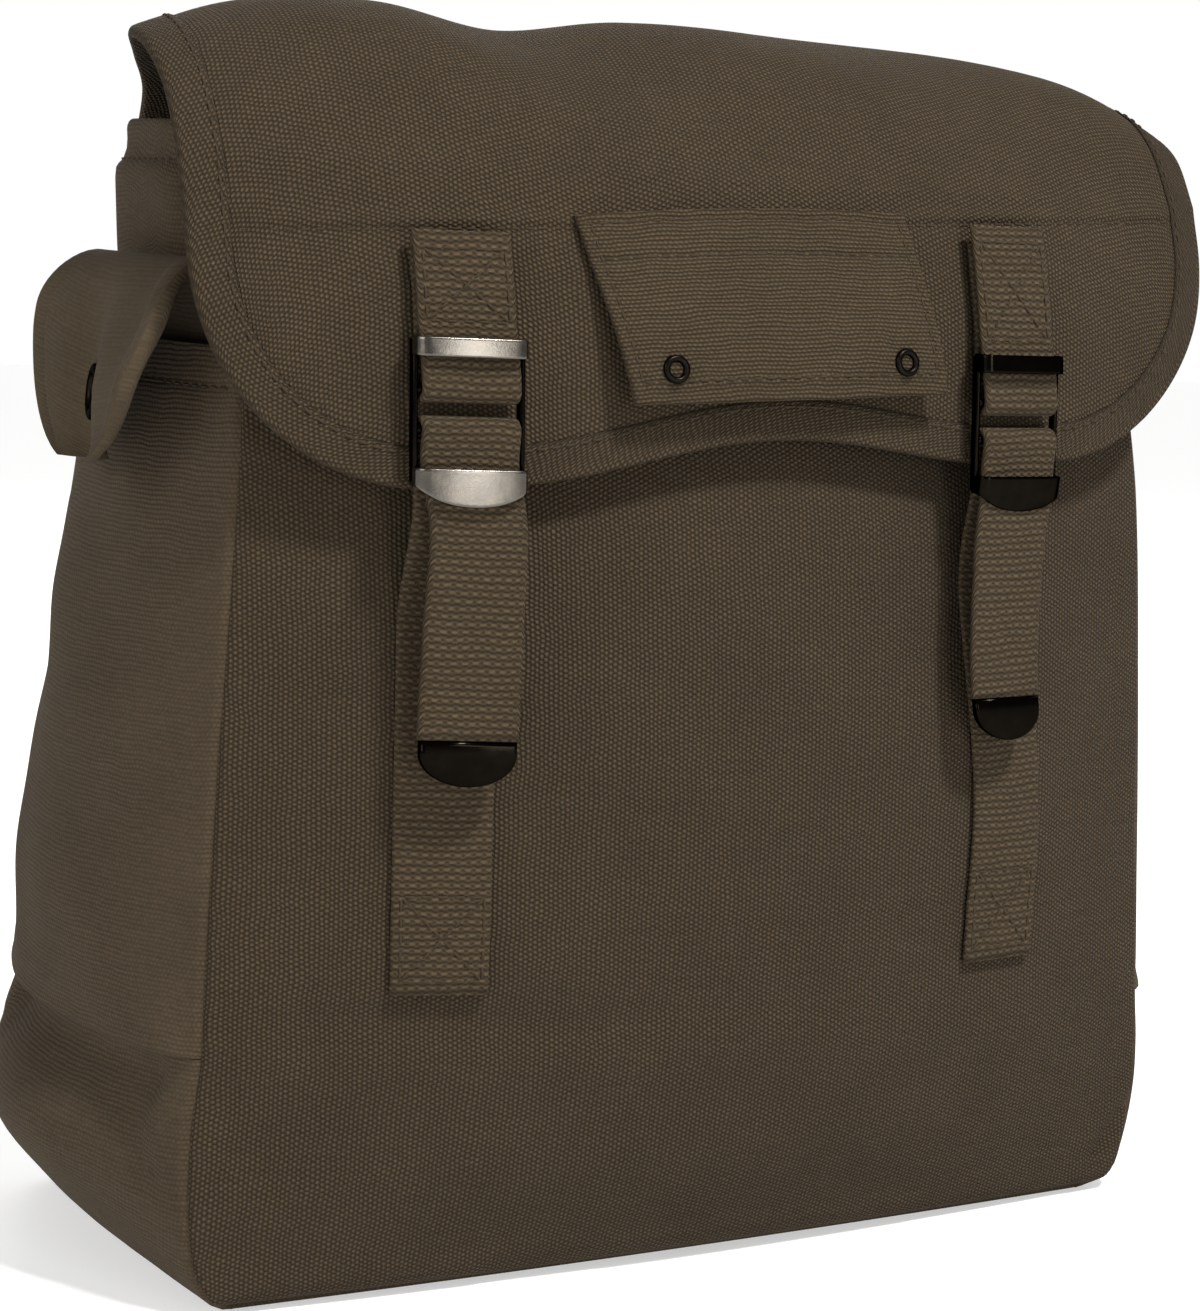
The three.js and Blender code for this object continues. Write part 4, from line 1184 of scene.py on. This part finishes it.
    def cloth(self, inset: float, depth: float) -> Array:
        """Returns the whole flap as one grid at a depth through the cloth."""
        half = self.width / 2
        share = places(-half, half, 2.4) / half
        along = places(0.0, 1.0, 0.014)[:-1]
        x = share[None] * (self.half_width(along)[:, None] - inset)
        top = self.top_point(x, along[:, None], depth)
        down = places(0.0, 1.0, 0.033)
        line = (self.shoulder - self.welt_height - 1.0) / (self.shoulder - self.low_edge)
        down = np.unique(np.concatenate([down, line + np.linspace(-0.12, 0.12, 17)]))
        down = down[(down >= 0) & (down <= 1)]
        x = share[None] * (half - inset)
        z = mix(self.shoulder, self.low(x, inset), down[:, None])
        return np.concatenate([top, self.face_point(x + 0 * z, z, depth)])

    def edge_stops(self) -> list[Stop]:
        """Returns the stops along the bound edge; each gives a point from inward and depth."""
        half, straight = self.width / 2, self.width / 2 - self.corner
        stops: list[Stop] = []
        along = places(self.sewn_to_back + 0.02, 0.985, 0.012)
        drop = places(0.0, 0.97, 0.04)

        def top_stop(side: int, share: float) -> Stop:
            """Returns a stop on the crown's edge."""
            edge = self.half_width(share)
            return lambda inward, depth: self.top_point(side * (edge - inward), share, depth)

        def face_stop(side: int, share: float) -> Stop:
            """Returns a stop on the straight side of the face."""
            height = mix(self.shoulder, self.low(side * half, 0.0), share)
            return lambda inward, depth: self.face_point(side * (half - inward), height, depth)

        def low_stop(x: float, angle: float) -> Stop:
            """Returns a stop on the lower outline."""
            return lambda inward, depth: self.face_point(
                x + np.cos(angle) * inward, self.low(x, 0.0) + np.sin(angle) * inward, depth
            )

        stops += [top_stop(-1, a) for a in along] + [face_stop(-1, d) for d in drop]
        for angle in np.linspace(0, np.pi / 2, 36):
            stops.append(low_stop(-straight - self.corner * np.cos(angle), angle))
        for x in np.linspace(-straight, straight, 74)[1:-1]:
            stops.append(low_stop(x, np.pi / 2))
        for angle in np.linspace(np.pi / 2, np.pi, 36):
            stops.append(low_stop(straight - self.corner * np.cos(angle), angle))
        stops += [face_stop(1, d) for d in drop[::-1]] + [top_stop(1, a) for a in along[::-1]]
        return stops

    def binding(self) -> None:
        """Makes the tape round the flap's edge and the thread that holds it."""
        wide, lift, thick = self.tape_width, 0.15, self.tape * 0.75
        over, under = -(lift + thick), CANVAS + lift + thick
        turn = np.linspace(0, np.pi, 9)
        middle, radius = CANVAS / 2, (under - over) / 2
        outer = [(wide, over + 0.35), (wide - 0.5, over + 0.05), (wide * 0.6, over), (2.2, over)]
        outer += [(1.1 - 1.1 * np.sin(t), middle - radius * np.cos(t)) for t in turn]
        outer += [(2.2, under), (wide * 0.6, under), (wide - 0.5, under - 0.05), (wide, under - 0.35)]
        slot = radius - thick
        inner = [(wide, -lift), (wide - 0.5, -lift), (wide * 0.6, -lift), (2.2, -lift)]
        inner += [(1.5 - 0.5 * np.sin(t), middle - slot * np.cos(t)) for t in turn]
        lining = CANVAS + lift
        inner += [(2.2, lining), (wide * 0.6, lining), (wide - 0.5, lining), (wide, lining)]
        stops = self.edge_stops()
        grids = []
        for profile in (outer, inner):
            inward, depth = np.array(profile).T
            grids.append(np.stack([stop(inward, depth) for stop in stops]))
        steps = np.linalg.norm(np.diff(grids[0][:, 6], axis=0), axis=1)
        run = np.cumsum(np.concatenate([[0.0], steps]))
        pucker = 0.12 * np.sin(2 * np.pi * run / 3.6)[:, None]
        out = unit(grids[0][:, 2] - grids[1][:, 2])
        grids[0][:, 1:4] += out[:, None] * pucker[:, None]
        piece = sheet("flap_binding_tape", grids[0], grids[1], BIAS_TAPE.material(), turn=45.0)
        dressed(piece, "binding", ["flap_binding"])
        sewing = Stitching("binding_stitching")
        inward, depth = np.array([(wide - 1.5, over), (wide - 1.5, over - 1.0)]).T
        line = np.stack([stop(inward, depth) for stop in stops])
        shares = np.linspace(0, 1, len(stops))

        def edge_line(share: Array, height: float) -> Array:
            """Returns points on the tape above its inner edge."""
            above = mix(line[:, 0], line[:, 1], height)
            return np.stack([np.interp(share, shares, above[:, axis]) for axis in range(3)], -1)

        for start in range(4):
            sewing.row(edge_line, start / 4 + 0.001, (start + 1) / 4)
        sewing.build(THREAD.material(), "binding")

    def build(self) -> None:
        """Makes the flap, its binding and its rows of thread."""
        inset = self.tape + SEAM_GAP
        grids = [self.cloth(inset, depth) for depth in (0.0, CANVAS)]
        # The flap's duck is lighter than the front's to paint the light from above.
        piece = sheet("flap_cloth", grids[0], grids[1], FLAP_DUCK_WITH_PAINTED_LIGHT.material())
        dressed(piece, "canvas_flap", ["main_flap"])
        self.binding()
        sewing = Stitching("flap_stitching")
        reach = self.width / 2 - self.tape_width - 1.0

        def welt_line(share: Array, height: float) -> Array:
            """Returns points along the welt."""
            x = mix(-reach, reach, share)
            return self.face_point(x, self.welt_height + self.tilt * x - 0.2, -height)

        def back_line(along: float) -> Line:
            """Returns a line of thread across the seam to the back."""
            half = self.seam_width / 2
            return lambda share, height: self.top_point(mix(-0.97, 0.97, share) * half, along, -height)

        sewing.row(welt_line)
        sewing.row(back_line(0.012))
        sewing.row(back_line(0.055))
        sewing.build(THREAD.material(), "canvas_flap")


@dataclass
class EyeletTab:
    """The doubled tab with two eyelets that hangs from the welt."""

    flap: Flap
    width: float = 92.0
    top: float = 270.0
    taper: float = 4.0
    length: float = 44.0
    thick: float = 2.6
    set_left: float = 6.5
    drift: float = 8.5
    stand_off: float = 5.0
    bow: float = 1.5
    side_rise: float = 2.2
    first_row: float = 0.05
    second_row: float = 0.235
    eyelet_from_side: float = 12.0
    eyelet_from_edge: float = 8.0

    def surface(self, across: Array, down: Array, depth: float) -> Array:
        """Returns a point of the tab, with across from -1 to 1 and down from 0 to 1."""
        across, down = np.broadcast_arrays(np.asarray(across, float), np.asarray(down, float))
        x = -self.set_left + self.drift * down + across * (self.width - self.taper * down) / 2
        arc = self.bow * (1 - across**2) * (1 - down)
        z = self.top - self.length * down + arc + self.side_rise * across
        off = SEAM_GAP + self.thick + self.stand_off * smooth(down * 1.1)
        wave = 0.5 * ripples(across * 46.0, down * 44.0, 3, 40.0) * smooth(down / 0.3)
        edge = np.minimum((1 - np.abs(across)) * self.width / 2, (1 - down) * self.length)
        rows = 0.5 * bell((down - self.first_row) * self.length, 0.8)
        rows = rows + 0.5 * bell((down - self.second_row) * self.length, 0.8)
        rows = rows + 0.45 * bell(edge - 3.0, 0.8)
        turn = rolled(edge, 1.6, 0.9)
        face = np.where(depth < self.thick / 2, rows + turn, -turn)
        y = self.flap.face_y(x, z) - off + depth - wave + face
        return point(x, y, z)

    def build(self) -> None:
        """Makes the tab, its thread and its eyelets."""
        across = places(-1.0, 1.0, 0.05, [-0.935, 0.935])
        down = places(0.0, 1.0, 0.05, [self.first_row, self.second_row, 0.93])
        grids = [self.surface(across[None], down[:, None], depth) for depth in (0.0, self.thick)]
        piece = sheet("tab_cloth", grids[0], grids[1], TAB_DUCK.material())
        dressed(piece, "canvas_flap", ["eyelet_tab"])
        sewing = Stitching("tab_stitching")
        side = 1 - 2 * 3.0 / self.width
        low = 1 - 5.5 / self.length

        def level(down_at: float, reach: float) -> Line:
            """Returns a line of thread across the tab."""
            return lambda share, height: self.surface(
                mix(-reach, reach, share), np.full_like(share, down_at), -height
            )

        def upright(across_at: float) -> Line:
            """Returns a line of thread down the tab."""
            return lambda share, height: self.surface(
                np.full_like(share, across_at), mix(self.first_row, low, share), -height
            )

        sewing.row(level(self.first_row, 0.98))
        sewing.row(level(self.second_row, side))
        sewing.row(level(low, side))
        sewing.row(upright(-side))
        sewing.row(upright(side))
        sewing.build(THREAD.material(), "canvas_flap")
        self.eyelets()

    def eyelets(self) -> None:
        """Sets the two eyelets near the tab's lower edge."""
        down_at = 1 - self.eyelet_from_edge / self.length
        reach = 1 - 2 * self.eyelet_from_side / (self.width - self.taper)

        def spot(across: float, down: float) -> Array:
            """Returns one point half way through the tab."""
            return self.surface(np.array([across]), np.array([down]), self.thick / 2)[0]

        for side in Side:
            across_at = side.value * reach
            centre = spot(across_at, down_at)
            up = unit(spot(across_at, down_at - 0.06) - centre)
            out = unit(np.cross(spot(across_at + 0.06, down_at) - centre, up))
            node = f"tab_eyelet_{side.word}"
            RingFitting(1.8, 3.5, self.thick).build(f"{node}_ring", centre, up, out, node)


def smooth_path(stops: Sequence[Sequence[float]], per_stop: int) -> Array:
    """Returns a smooth path through stops, with gentle turns where they lie close together."""
    p = np.array(stops, float)
    p = np.concatenate([[2 * p[0] - p[1]], p, [2 * p[-1] - p[-2]]])
    out = []
    for k in range(1, len(p) - 2):
        legs = [p[k + j + 1] - p[k + j] for j in (-1, 0, 1)]
        gaps = [max(np.linalg.norm(leg) ** 0.5, 1e-4) for leg in legs]
        start = legs[0] / gaps[0] - (legs[0] + legs[1]) / (gaps[0] + gaps[1]) + legs[1] / gaps[1]
        end = legs[1] / gaps[1] - (legs[1] + legs[2]) / (gaps[1] + gaps[2]) + legs[2] / gaps[2]
        start, end = start * gaps[1], end * gaps[1]
        for t in np.arange(per_stop) / per_stop:
            rise = 3 * legs[1] - 2 * start - end
            bend = start + end - 2 * legs[1]
            out.append(p[k] + start * t + rise * t**2 + bend * t**3)
    out.append(p[-2])
    return np.array(out)


@dataclass
class Strap:
    """One closing strap: webbing from the welt, a slide buckle, and webbing from the front."""

    body: Body
    flap: Flap
    side: Side
    place: float
    foot: float
    tail_end: float
    tail_slide: float
    tail_start: float = 0.0
    finish: MetalFinish = BLACK_NICKEL
    width: float = 23.8
    thick: float = 1.8
    top_height: float = 267.0
    foot_height: float = 79.0
    straight_foot: float = 30.0
    bridge: float = 34.0
    buckle_top: float = 238.5
    buckle_height: float = 39.5
    buckle_width: float = 27.0
    metal: float = 1.3
    bar: float = 2.2
    slot_drop: float = 17.0
    slot: float = 3.0
    plate_height: float = 9.0
    top_bar: float = 4.6
    tip_width: float = 22.6
    tip_height: float = 11.0
    tip_metal: float = 0.6
    stand_off: float = 7.0
    layer: float = field(init=False)
    first: float = field(init=False)
    turn: float = field(init=False)
    bar_out: float = field(init=False)
    front: float = field(init=False)
    upper_bar: float = field(init=False)
    lower_bar: float = field(init=False)

    def __post_init__(self) -> None:
        """Works out where the layers and the cross bars lie."""
        self.layer = self.thick + SEAM_GAP
        self.first = SEAM_GAP + self.thick / 2
        self.turn = self.bar / 2 + SEAM_GAP + self.thick / 2
        self.bar_out = self.first + self.turn
        self.front = self.bar_out + self.turn + self.thick / 2 + LOOSE_GAP + self.metal / 2
        middle = self.buckle_top - self.slot_drop
        self.upper_bar = middle + self.slot / 2 + self.turn + self.thick / 2
        self.lower_bar = middle - self.slot / 2 - self.turn - self.thick / 2

    def bed(self, x: Array, z: Array) -> Array:
        """Returns the face that the strap lies on: the flap, then the front below it."""
        edge = self.flap.low(x, 0.0)
        front = self.body.front_y(x, z)
        over = np.minimum(self.flap.face_y(x, z) - self.flap.tape_gap - self.flap.tape, front)
        over = over - 0.3 * bell(z - self.flap.welt_height, 8.0)
        return np.where(z >= edge - 2, over, mix(over, front, smooth((edge - 2 - z) / self.bridge)))

    def on_bed(self, across: Array, out: Array, up: Array) -> Array:
        """Returns points from places across, out of and up the strap."""
        across, out, up = np.broadcast_arrays(*(np.asarray(v, float) for v in (across, out, up)))
        low = self.foot_height + self.straight_foot
        slant = smooth((up - low) / (self.buckle_top - self.buckle_height - low))
        x = mix(self.foot, self.place, slant) + across
        return point(x, self.bed(x, up) - out, up)

    def web(self, name: str, stops: Sequence[Sequence[float]], nodes: Sequence[str]) -> None:
        """Makes one length of webbing.

        Args:
            name: Name of the piece.
            stops: Places out, up and, where it slides sideways, across.
            nodes: CAD nodes that it stands for.
        """
        filled = [(out, up, slide[0] if slide else 0.0) for out, up, *slide in stops]
        path = smooth_path(filled, 7)
        run = unit(np.gradient(path[:, :2], axis=0))
        half, thick = self.width / 2, self.thick / 2
        arc = np.linspace(-np.pi / 2, np.pi / 2, 5)
        right = [(half - thick + thick * np.cos(a), thick * np.sin(a)) for a in arc]
        flat = list(np.linspace(half - 2.6, -half + 2.6, 9))
        profile = right + [(x, thick) for x in flat]
        profile += [(-x, -y) for x, y in right] + [(-x, -thick) for x in flat]
        across, offset = np.array(profile).T
        out = path[:, 0, None] + offset * run[:, 1, None]
        up = path[:, 1, None] - offset * run[:, 0, None]
        rings = self.on_bed(path[:, 2, None] + across, out, up)
        piece = tube(name, rings, WEBBING.material())
        dressed(piece, "webbing", nodes)
        length = np.linalg.norm(np.diff(path, axis=0), axis=1).sum()

    def build(self) -> None:
        """Makes both lengths of webbing, the thread, the buckle and the tail's tip."""
        word = self.side.word
        turns = np.linspace(0, np.pi, 7)
        round_bar = self.bar_out - self.turn * np.cos(turns)
        below_bar = self.turn * np.sin(turns)
        top = self.top_height + self.flap.tilt * self.place
        back = self.first + self.layer

        def down(share: float) -> float:
            """Returns a height between the welt and the buckle."""
            return mix(top, self.buckle_top, share)

        stops = [(self.first, down(0.15)), (self.first, down(0.55)), (self.first, down(0.92))]
        stops += zip(round_bar, self.upper_bar - below_bar)
        stops += [(back + 1.2, down(1.08)), (back, down(0.85)), (back, down(0.4)), (back, top)]
        self.web(f"upper_web_{word}", stops, [f"upper_strap_{word}"])
        shares = (0.0, 0.16, 0.32, 0.48, 0.64, 0.8, 0.92)
        stops = [(self.first, mix(self.foot_height, self.lower_bar - 3, share)) for share in shares]
        stops += zip(round_bar, self.lower_bar + below_bar)
        stops += [(back + 1.6, self.lower_bar - 8)]
        high, low = self.lower_bar - 12, self.tail_end + SEAM_GAP
        first_y = self.bed(self.place, high) - back - 2.4
        last_y = self.bed(self.place, low) - back - self.stand_off
        for share in (0.2, 0.42, 0.62, 0.8, 1.0):
            height = mix(high, low, share)
            out = max(back + 0.8, float(self.bed(self.place, height) - mix(first_y, last_y, share)))
            stops.append((out, height, mix(self.tail_start, self.tail_slide, smooth(share))))
        self.web(f"lower_web_{word}", stops, [f"lower_strap_{word}"])
        self.sew()
        self.buckle()
        self.tip()

    def seam(self, start: tuple[float, float], end: tuple[float, float], out: float) -> Line:
        """Returns a line of thread between two places on the webbing's face."""
        return lambda share, height: self.on_bed(
            mix(start[0], end[0], share), out + height, mix(start[1], end[1], share)
        )

    def sew(self) -> None:
        """Sews a box and a cross at each fixed end of the strap."""
        sewing = Stitching(f"strap_stitching_{self.side.word}")
        top = self.top_height + self.flap.tilt * self.place
        side = self.width / 2 - 2.0
        upper_out = self.first + self.layer + self.thick / 2
        lower_out = self.first + self.thick / 2
        patches = (
            (top - 4.0, self.buckle_top + 3.5, upper_out),
            (self.foot_height + 24.5, self.foot_height + 3.5, lower_out),
        )
        for high, low, out in patches:
            corners = [(-side, high), (side, high), (side, low), (-side, low)]
            pairs = [(0, 1), (1, 2), (2, 3), (3, 0), (0, 2), (1, 3)]
            for a, b in pairs:
                sewing.row(self.seam(corners[a], corners[b], out))
        sewing.build(THREAD.material(), "webbing")

    def block(
        self, shape: bmesh.types.BMesh, centre: Sequence[float], size: Sequence[float], rounding: float
    ) -> None:
        """Adds a dark bar with rounded edges, in places across, out and up."""
        made = bmesh.ops.create_cube(shape, size=1.0)
        corners = made["verts"]
        bmesh.ops.scale(shape, vec=size, verts=corners)
        bmesh.ops.translate(shape, vec=centre, verts=corners)
        for side in dict.fromkeys(side for corner in corners for side in corner.link_faces):
            side.material_index = 1
        edges = list(dict.fromkeys(edge for corner in corners for edge in corner.link_edges))
        bmesh.ops.bevel(
            shape, geom=edges, offset=rounding, segments=3, profile=0.5, affect="EDGES", material=1
        )

    def plate(
        self, shape: bmesh.types.BMesh, centre: Sequence[float], wide: float, high: float, thick: float
    ) -> None:
        """Adds a plate with a straight top, a round lower edge and rounded rims."""
        turns = np.linspace(np.pi, 0, 25)
        outline = [(-wide / 2, 0.0)]
        outline += [(wide / 2 * np.cos(t), -high * (0.3 + 0.7 * np.sin(t))) for t in turns]
        outline += [(wide / 2, 0.0)]
        across, ahead, up = centre
        corners = [shape.verts.new((x + across, ahead + thick / 2, z + up)) for x, z in outline]
        face = shape.faces.new(corners)
        made = bmesh.ops.extrude_face_region(shape, geom=[face])
        moved = [item for item in made["geom"] if isinstance(item, bmesh.types.BMVert)]
        bmesh.ops.translate(shape, vec=(0, -thick, 0), verts=moved)
        rims = dict.fromkeys(edge for corner in moved + corners for edge in corner.link_edges)
        edges = [edge for edge in rims if len({round(c.co.y, 4) for c in edge.verts}) == 1]
        bmesh.ops.bevel(shape, geom=edges, offset=thick * 0.32, segments=3, profile=0.5, affect="EDGES")

    def metal_piece(self, shape: bmesh.types.BMesh, name: str, node: str, finish: MetalFinish) -> None:
        """Lays a drawn metal shape on the strap and finishes it."""
        drawn = np.array([corner.co[:] for corner in shape.verts])
        laid = settled(self.on_bed(drawn[:, 0], -drawn[:, 1], drawn[:, 2]))
        for corner, spot in zip(shape.verts, laid):
            corner.co = spot
        bmesh.ops.recalc_face_normals(shape, faces=shape.faces)
        mesh = bpy.data.meshes.new(name)
        shape.to_mesh(mesh)
        shape.free()
        mesh.shade_smooth()
        mesh.materials.append(finish.material())
        mesh.materials.append(BLACK_NICKEL.material())
        piece = bpy.data.objects.new(name, mesh)
        bpy.context.scene.collection.objects.link(piece)
        dressed(piece, "metal", [node])

    def bent(self, shape: bmesh.types.BMesh, top: float, heights: Callable[[Array], Array]) -> None:
        """Adds a metal strip that crosses the strap in front and bends back onto both rails.

        Args:
            shape: The buckle's drawn metal.
            top: Height of its upper edge.
            heights: Its height at places across the strap.
        """
        half, radius = self.buckle_width / 2 - self.metal / 2, 2.4
        turns = np.linspace(np.pi, np.pi / 2, 8)
        straight = half - radius
        left = [(-half, self.bar_out - 0.3), (-half, self.bar_out + 0.8)]
        left += zip(-straight + radius * np.cos(turns), self.front - radius + radius * np.sin(turns))
        spots = np.linspace(-straight, straight, 18)[1:-1]
        face = list(zip(spots, self.front + 0.4 * (1 - (spots / straight) ** 2)))
        path = np.array(left + face + [(-x, out) for x, out in reversed(left)])
        run = unit(np.gradient(path, axis=0))
        thick, rounding = self.metal / 2, 0.42
        section = []
        for quarter, (a, b) in enumerate(((1, 1), (-1, 1), (-1, 0), (1, 0))):
            edge = rounding if b == 0 else -rounding
            arc = quarter * np.pi / 2 + np.linspace(0, np.pi / 2, 4)
            away = a * (thick - rounding)
            corner = [(away + rounding * np.cos(t), b, edge + rounding * np.sin(t)) for t in arc]
            inner = [(a * thick, b, edge * 1.9)]
            section += inner + corner if quarter in (0, 2) else corner + inner
        offset, upper, shift = np.array(section).T
        low = top - heights(path[:, 0])
        across = path[:, :1] - run[:, 1:] * offset
        out = path[:, 1:] + run[:, :1] * offset
        up = np.broadcast_to(mix(low[:, None], top, upper) + shift, out.shape)
        rows = []
        for ring in point(across, -out, up):
            rows.append([shape.verts.new(place) for place in ring])
        for one, two in zip(rows, rows[1:]):
            for k in range(len(one)):
                j = (k + 1) % len(one)
                shape.faces.new((one[k], one[j], two[j], two[k]))
        for ring in (rows[0], rows[-1]):
            shape.faces.new(ring)

    def buckle(self) -> None:
        """Makes the slide buckle: two rails, two cross bars, a top bar and a round plate."""
        shape = bmesh.new()
        bottom = self.buckle_top - self.buckle_height
        rail_x = self.buckle_width / 2 - self.metal / 2
        rail_top = self.buckle_top - 0.4
        rail_foot = bottom + self.plate_height * 0.55
        middle = (rail_top + rail_foot) / 2
        rail = (self.metal, self.bar + 0.6, rail_top - rail_foot)
        for way in (-1, 1):
            self.block(shape, (way * rail_x, -self.bar_out, middle), rail, 0.62)
        cross_bar = (self.buckle_width - self.metal, self.bar, self.bar)
        for up in (self.upper_bar, self.lower_bar):
            self.block(shape, (0, -self.bar_out, up), cross_bar, 0.9)
        self.bent(shape, self.buckle_top, lambda x: np.full_like(x, self.top_bar))
        half = self.buckle_width / 2

        def plate(x: Array) -> Array:
            """Returns the height of the round plate across the strap."""
            return self.plate_height * np.maximum(0.42, 0.3 + 0.7 * np.sqrt(1 - (x / half) ** 2))

        self.bent(shape, bottom + self.plate_height, plate)
        word = self.side.word
        self.metal_piece(shape, f"slide_buckle_{word}", f"buckle_{word}", self.finish)

    def tip(self) -> None:
        """Makes the metal tip on the strap's tail."""
        shape = bmesh.new()
        out = self.first + self.layer + self.stand_off
        thick = self.thick + 2 * self.tip_metal
        self.plate(shape, (self.tail_slide, -out, self.tail_end), self.tip_width, self.tip_height, thick)
        word = self.side.word
        self.metal_piece(shape, f"tail_tip_{word}", f"strap_tip_{word}", BLACK_ENAMEL)


# The studio


@dataclass(frozen=True)
class Lamp:
    """A soft square light that looks at the bag."""

    name: str
    place: tuple[float, float, float]
    size: tuple[float, float]
    power: float

    def build(self) -> None:
        """Hangs the light."""
        data = bpy.data.lights.new(self.name, "AREA")
        data.energy, data.shape = self.power, "RECTANGLE"
        data.size, data.size_y = self.size
        lamp = bpy.data.objects.new(self.name, data)
        lamp.location = self.place
        aim = Vector((0.0, 0.0, 0.15)) - Vector(self.place)
        lamp.rotation_mode = "QUATERNION"
        lamp.rotation_quaternion = aim.to_track_quat("-Z", "Y")
        bpy.context.scene.collection.objects.link(lamp)


@dataclass(frozen=True)
class Studio:
    """A pale floor, soft light and the camera at the front left."""

    yaw: float = -27.1
    pitch: float = 8.45
    roll: float = 1.258
    lens: float = 3326.0 * 36.0 / 1311.0
    distance: float = 911.2
    target: tuple[float, float, float] = (3.237, ROW_SHIFT, 148.37)
    air_light: float = 0.32
    floor_reach: float = 6.0
    floor_glow: float = 0.5
    lamps: tuple[Lamp, ...] = (
        Lamp("key", (0.38, -1.15, 1.85), (0.24, 0.24), 52.0),
        Lamp("front card", (0.07, -1.25, 0.3), (0.25, 0.46), 3.3),
        Lamp("left fill", (-1.6, -0.5, 0.8), (0.9, 0.9), 11.5),
        Lamp("back fill", (0.5, 1.5, 0.9), (0.9, 0.9), 12.0),
    )

    def build(self) -> None:
        """Sets up floor, light and camera."""
        self.floor()
        self.backdrop()
        for lamp in self.lamps:
            lamp.build()
        world = bpy.data.worlds.new("studio air")
        world.use_nodes = True
        air = world.node_tree.nodes["Background"]
        air.inputs[0].default_value = (1.0, 1.0, 1.0, 1.0)
        air.inputs[1].default_value = self.air_light
        bpy.context.scene.world = world
        bpy.context.scene.view_settings.view_transform = "Standard"
        self.camera()

    def floor(self) -> None:
        """Lays the floor."""
        mesh = bpy.data.meshes.new("floor")
        reach = self.floor_reach
        corners = [(-reach, -reach, 0), (reach, -reach, 0), (reach, reach, 0), (-reach, reach, 0)]
        mesh.from_pydata(corners, [], [(0, 1, 2, 3)])
        nodes = NodeSheet.new("pale floor")
        shader = nodes.add("BsdfPrincipled")
        shader.inputs["Base Color"].default_value = (0.6, 0.6, 0.59, 1.0)
        shader.inputs["Roughness"].default_value = 0.9
        shader.inputs["Emission Color"].default_value = (1.0, 1.0, 1.0, 1.0)
        shader.inputs["Emission Strength"].default_value = self.floor_glow
        nodes.add("OutputMaterial", {"Surface": shader.outputs[0]})
        mesh.materials.append(nodes.material)
        floor = bpy.data.objects.new("floor", mesh)
        bpy.context.scene.collection.objects.link(floor)

    def backdrop(self) -> None:
        """Stands a white lit wall behind the bag."""
        mesh = bpy.data.meshes.new("backdrop")
        corners = [(-4.5, 5.5, -0.01), (7.5, 1.0, -0.01), (7.5, 1.0, 6.0), (-4.5, 5.5, 6.0)]
        mesh.from_pydata(corners, [], [(0, 1, 2, 3)])
        nodes = NodeSheet.new("white wall")
        glow = nodes.add("Emission", {"Color": (1.0, 1.0, 1.0, 1.0), "Strength": 1.0})
        nodes.add("OutputMaterial", {"Surface": glow.outputs[0]})
        mesh.materials.append(nodes.material)
        wall = bpy.data.objects.new("backdrop", mesh)
        bpy.context.scene.collection.objects.link(wall)

    def camera(self) -> None:
        """Sets the camera."""
        a, e, r = np.radians([self.yaw, self.pitch, self.roll])
        back = np.array([np.sin(a) * np.cos(e), -np.cos(a) * np.cos(e), np.sin(e)])
        level = np.array([np.cos(a), np.sin(a), 0.0])
        up = np.cross(back, level)
        right = np.cos(r) * level + np.sin(r) * up
        above = -np.sin(r) * level + np.cos(r) * up
        eye = (np.array(self.target) + back * self.distance) * MM
        data = bpy.data.cameras.new("camera")
        data.lens, data.sensor_width, data.sensor_fit = self.lens, 36.0, "AUTO"
        data.clip_start, data.clip_end = 0.01, 50.0
        camera = bpy.data.objects.new("camera", data)
        turned = Matrix(np.stack([right, above, back], axis=1).tolist()).to_4x4()
        turned.translation = Vector(eye)
        camera.matrix_world = turned
        bpy.context.scene.collection.objects.link(camera)
        bpy.context.scene.camera = camera


def main() -> None:
    """Builds the bag and its studio."""
    logging.basicConfig(level=logging.INFO, format="%(name)s %(message)s")
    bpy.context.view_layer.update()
    body = Body()
    BodyShell(body).build()
    Collar(body).build()
    Ear(body, Side.LEFT, 31.0).build()
    Ear(body, Side.RIGHT, 9.0, swing=-5.0, valley=0.0, belly=-1.0).build()
    flap = Flap(body)
    flap.build()
    EyeletTab(flap).build()
    # The left buckle's top bar and round plate take the lighter nickel, a painted reflection.
    Strap(body, flap, Side.LEFT, -82.5, -83.0, 143.0, 1.5, 2.5, NICKEL_WITH_PAINTED_REFLECTION).build()
    Strap(body, flap, Side.RIGHT, 69.5, 78.0, 151.0, -5.4, -1.0).build()
    Studio().build()


if __name__ == "__main__":
    main()
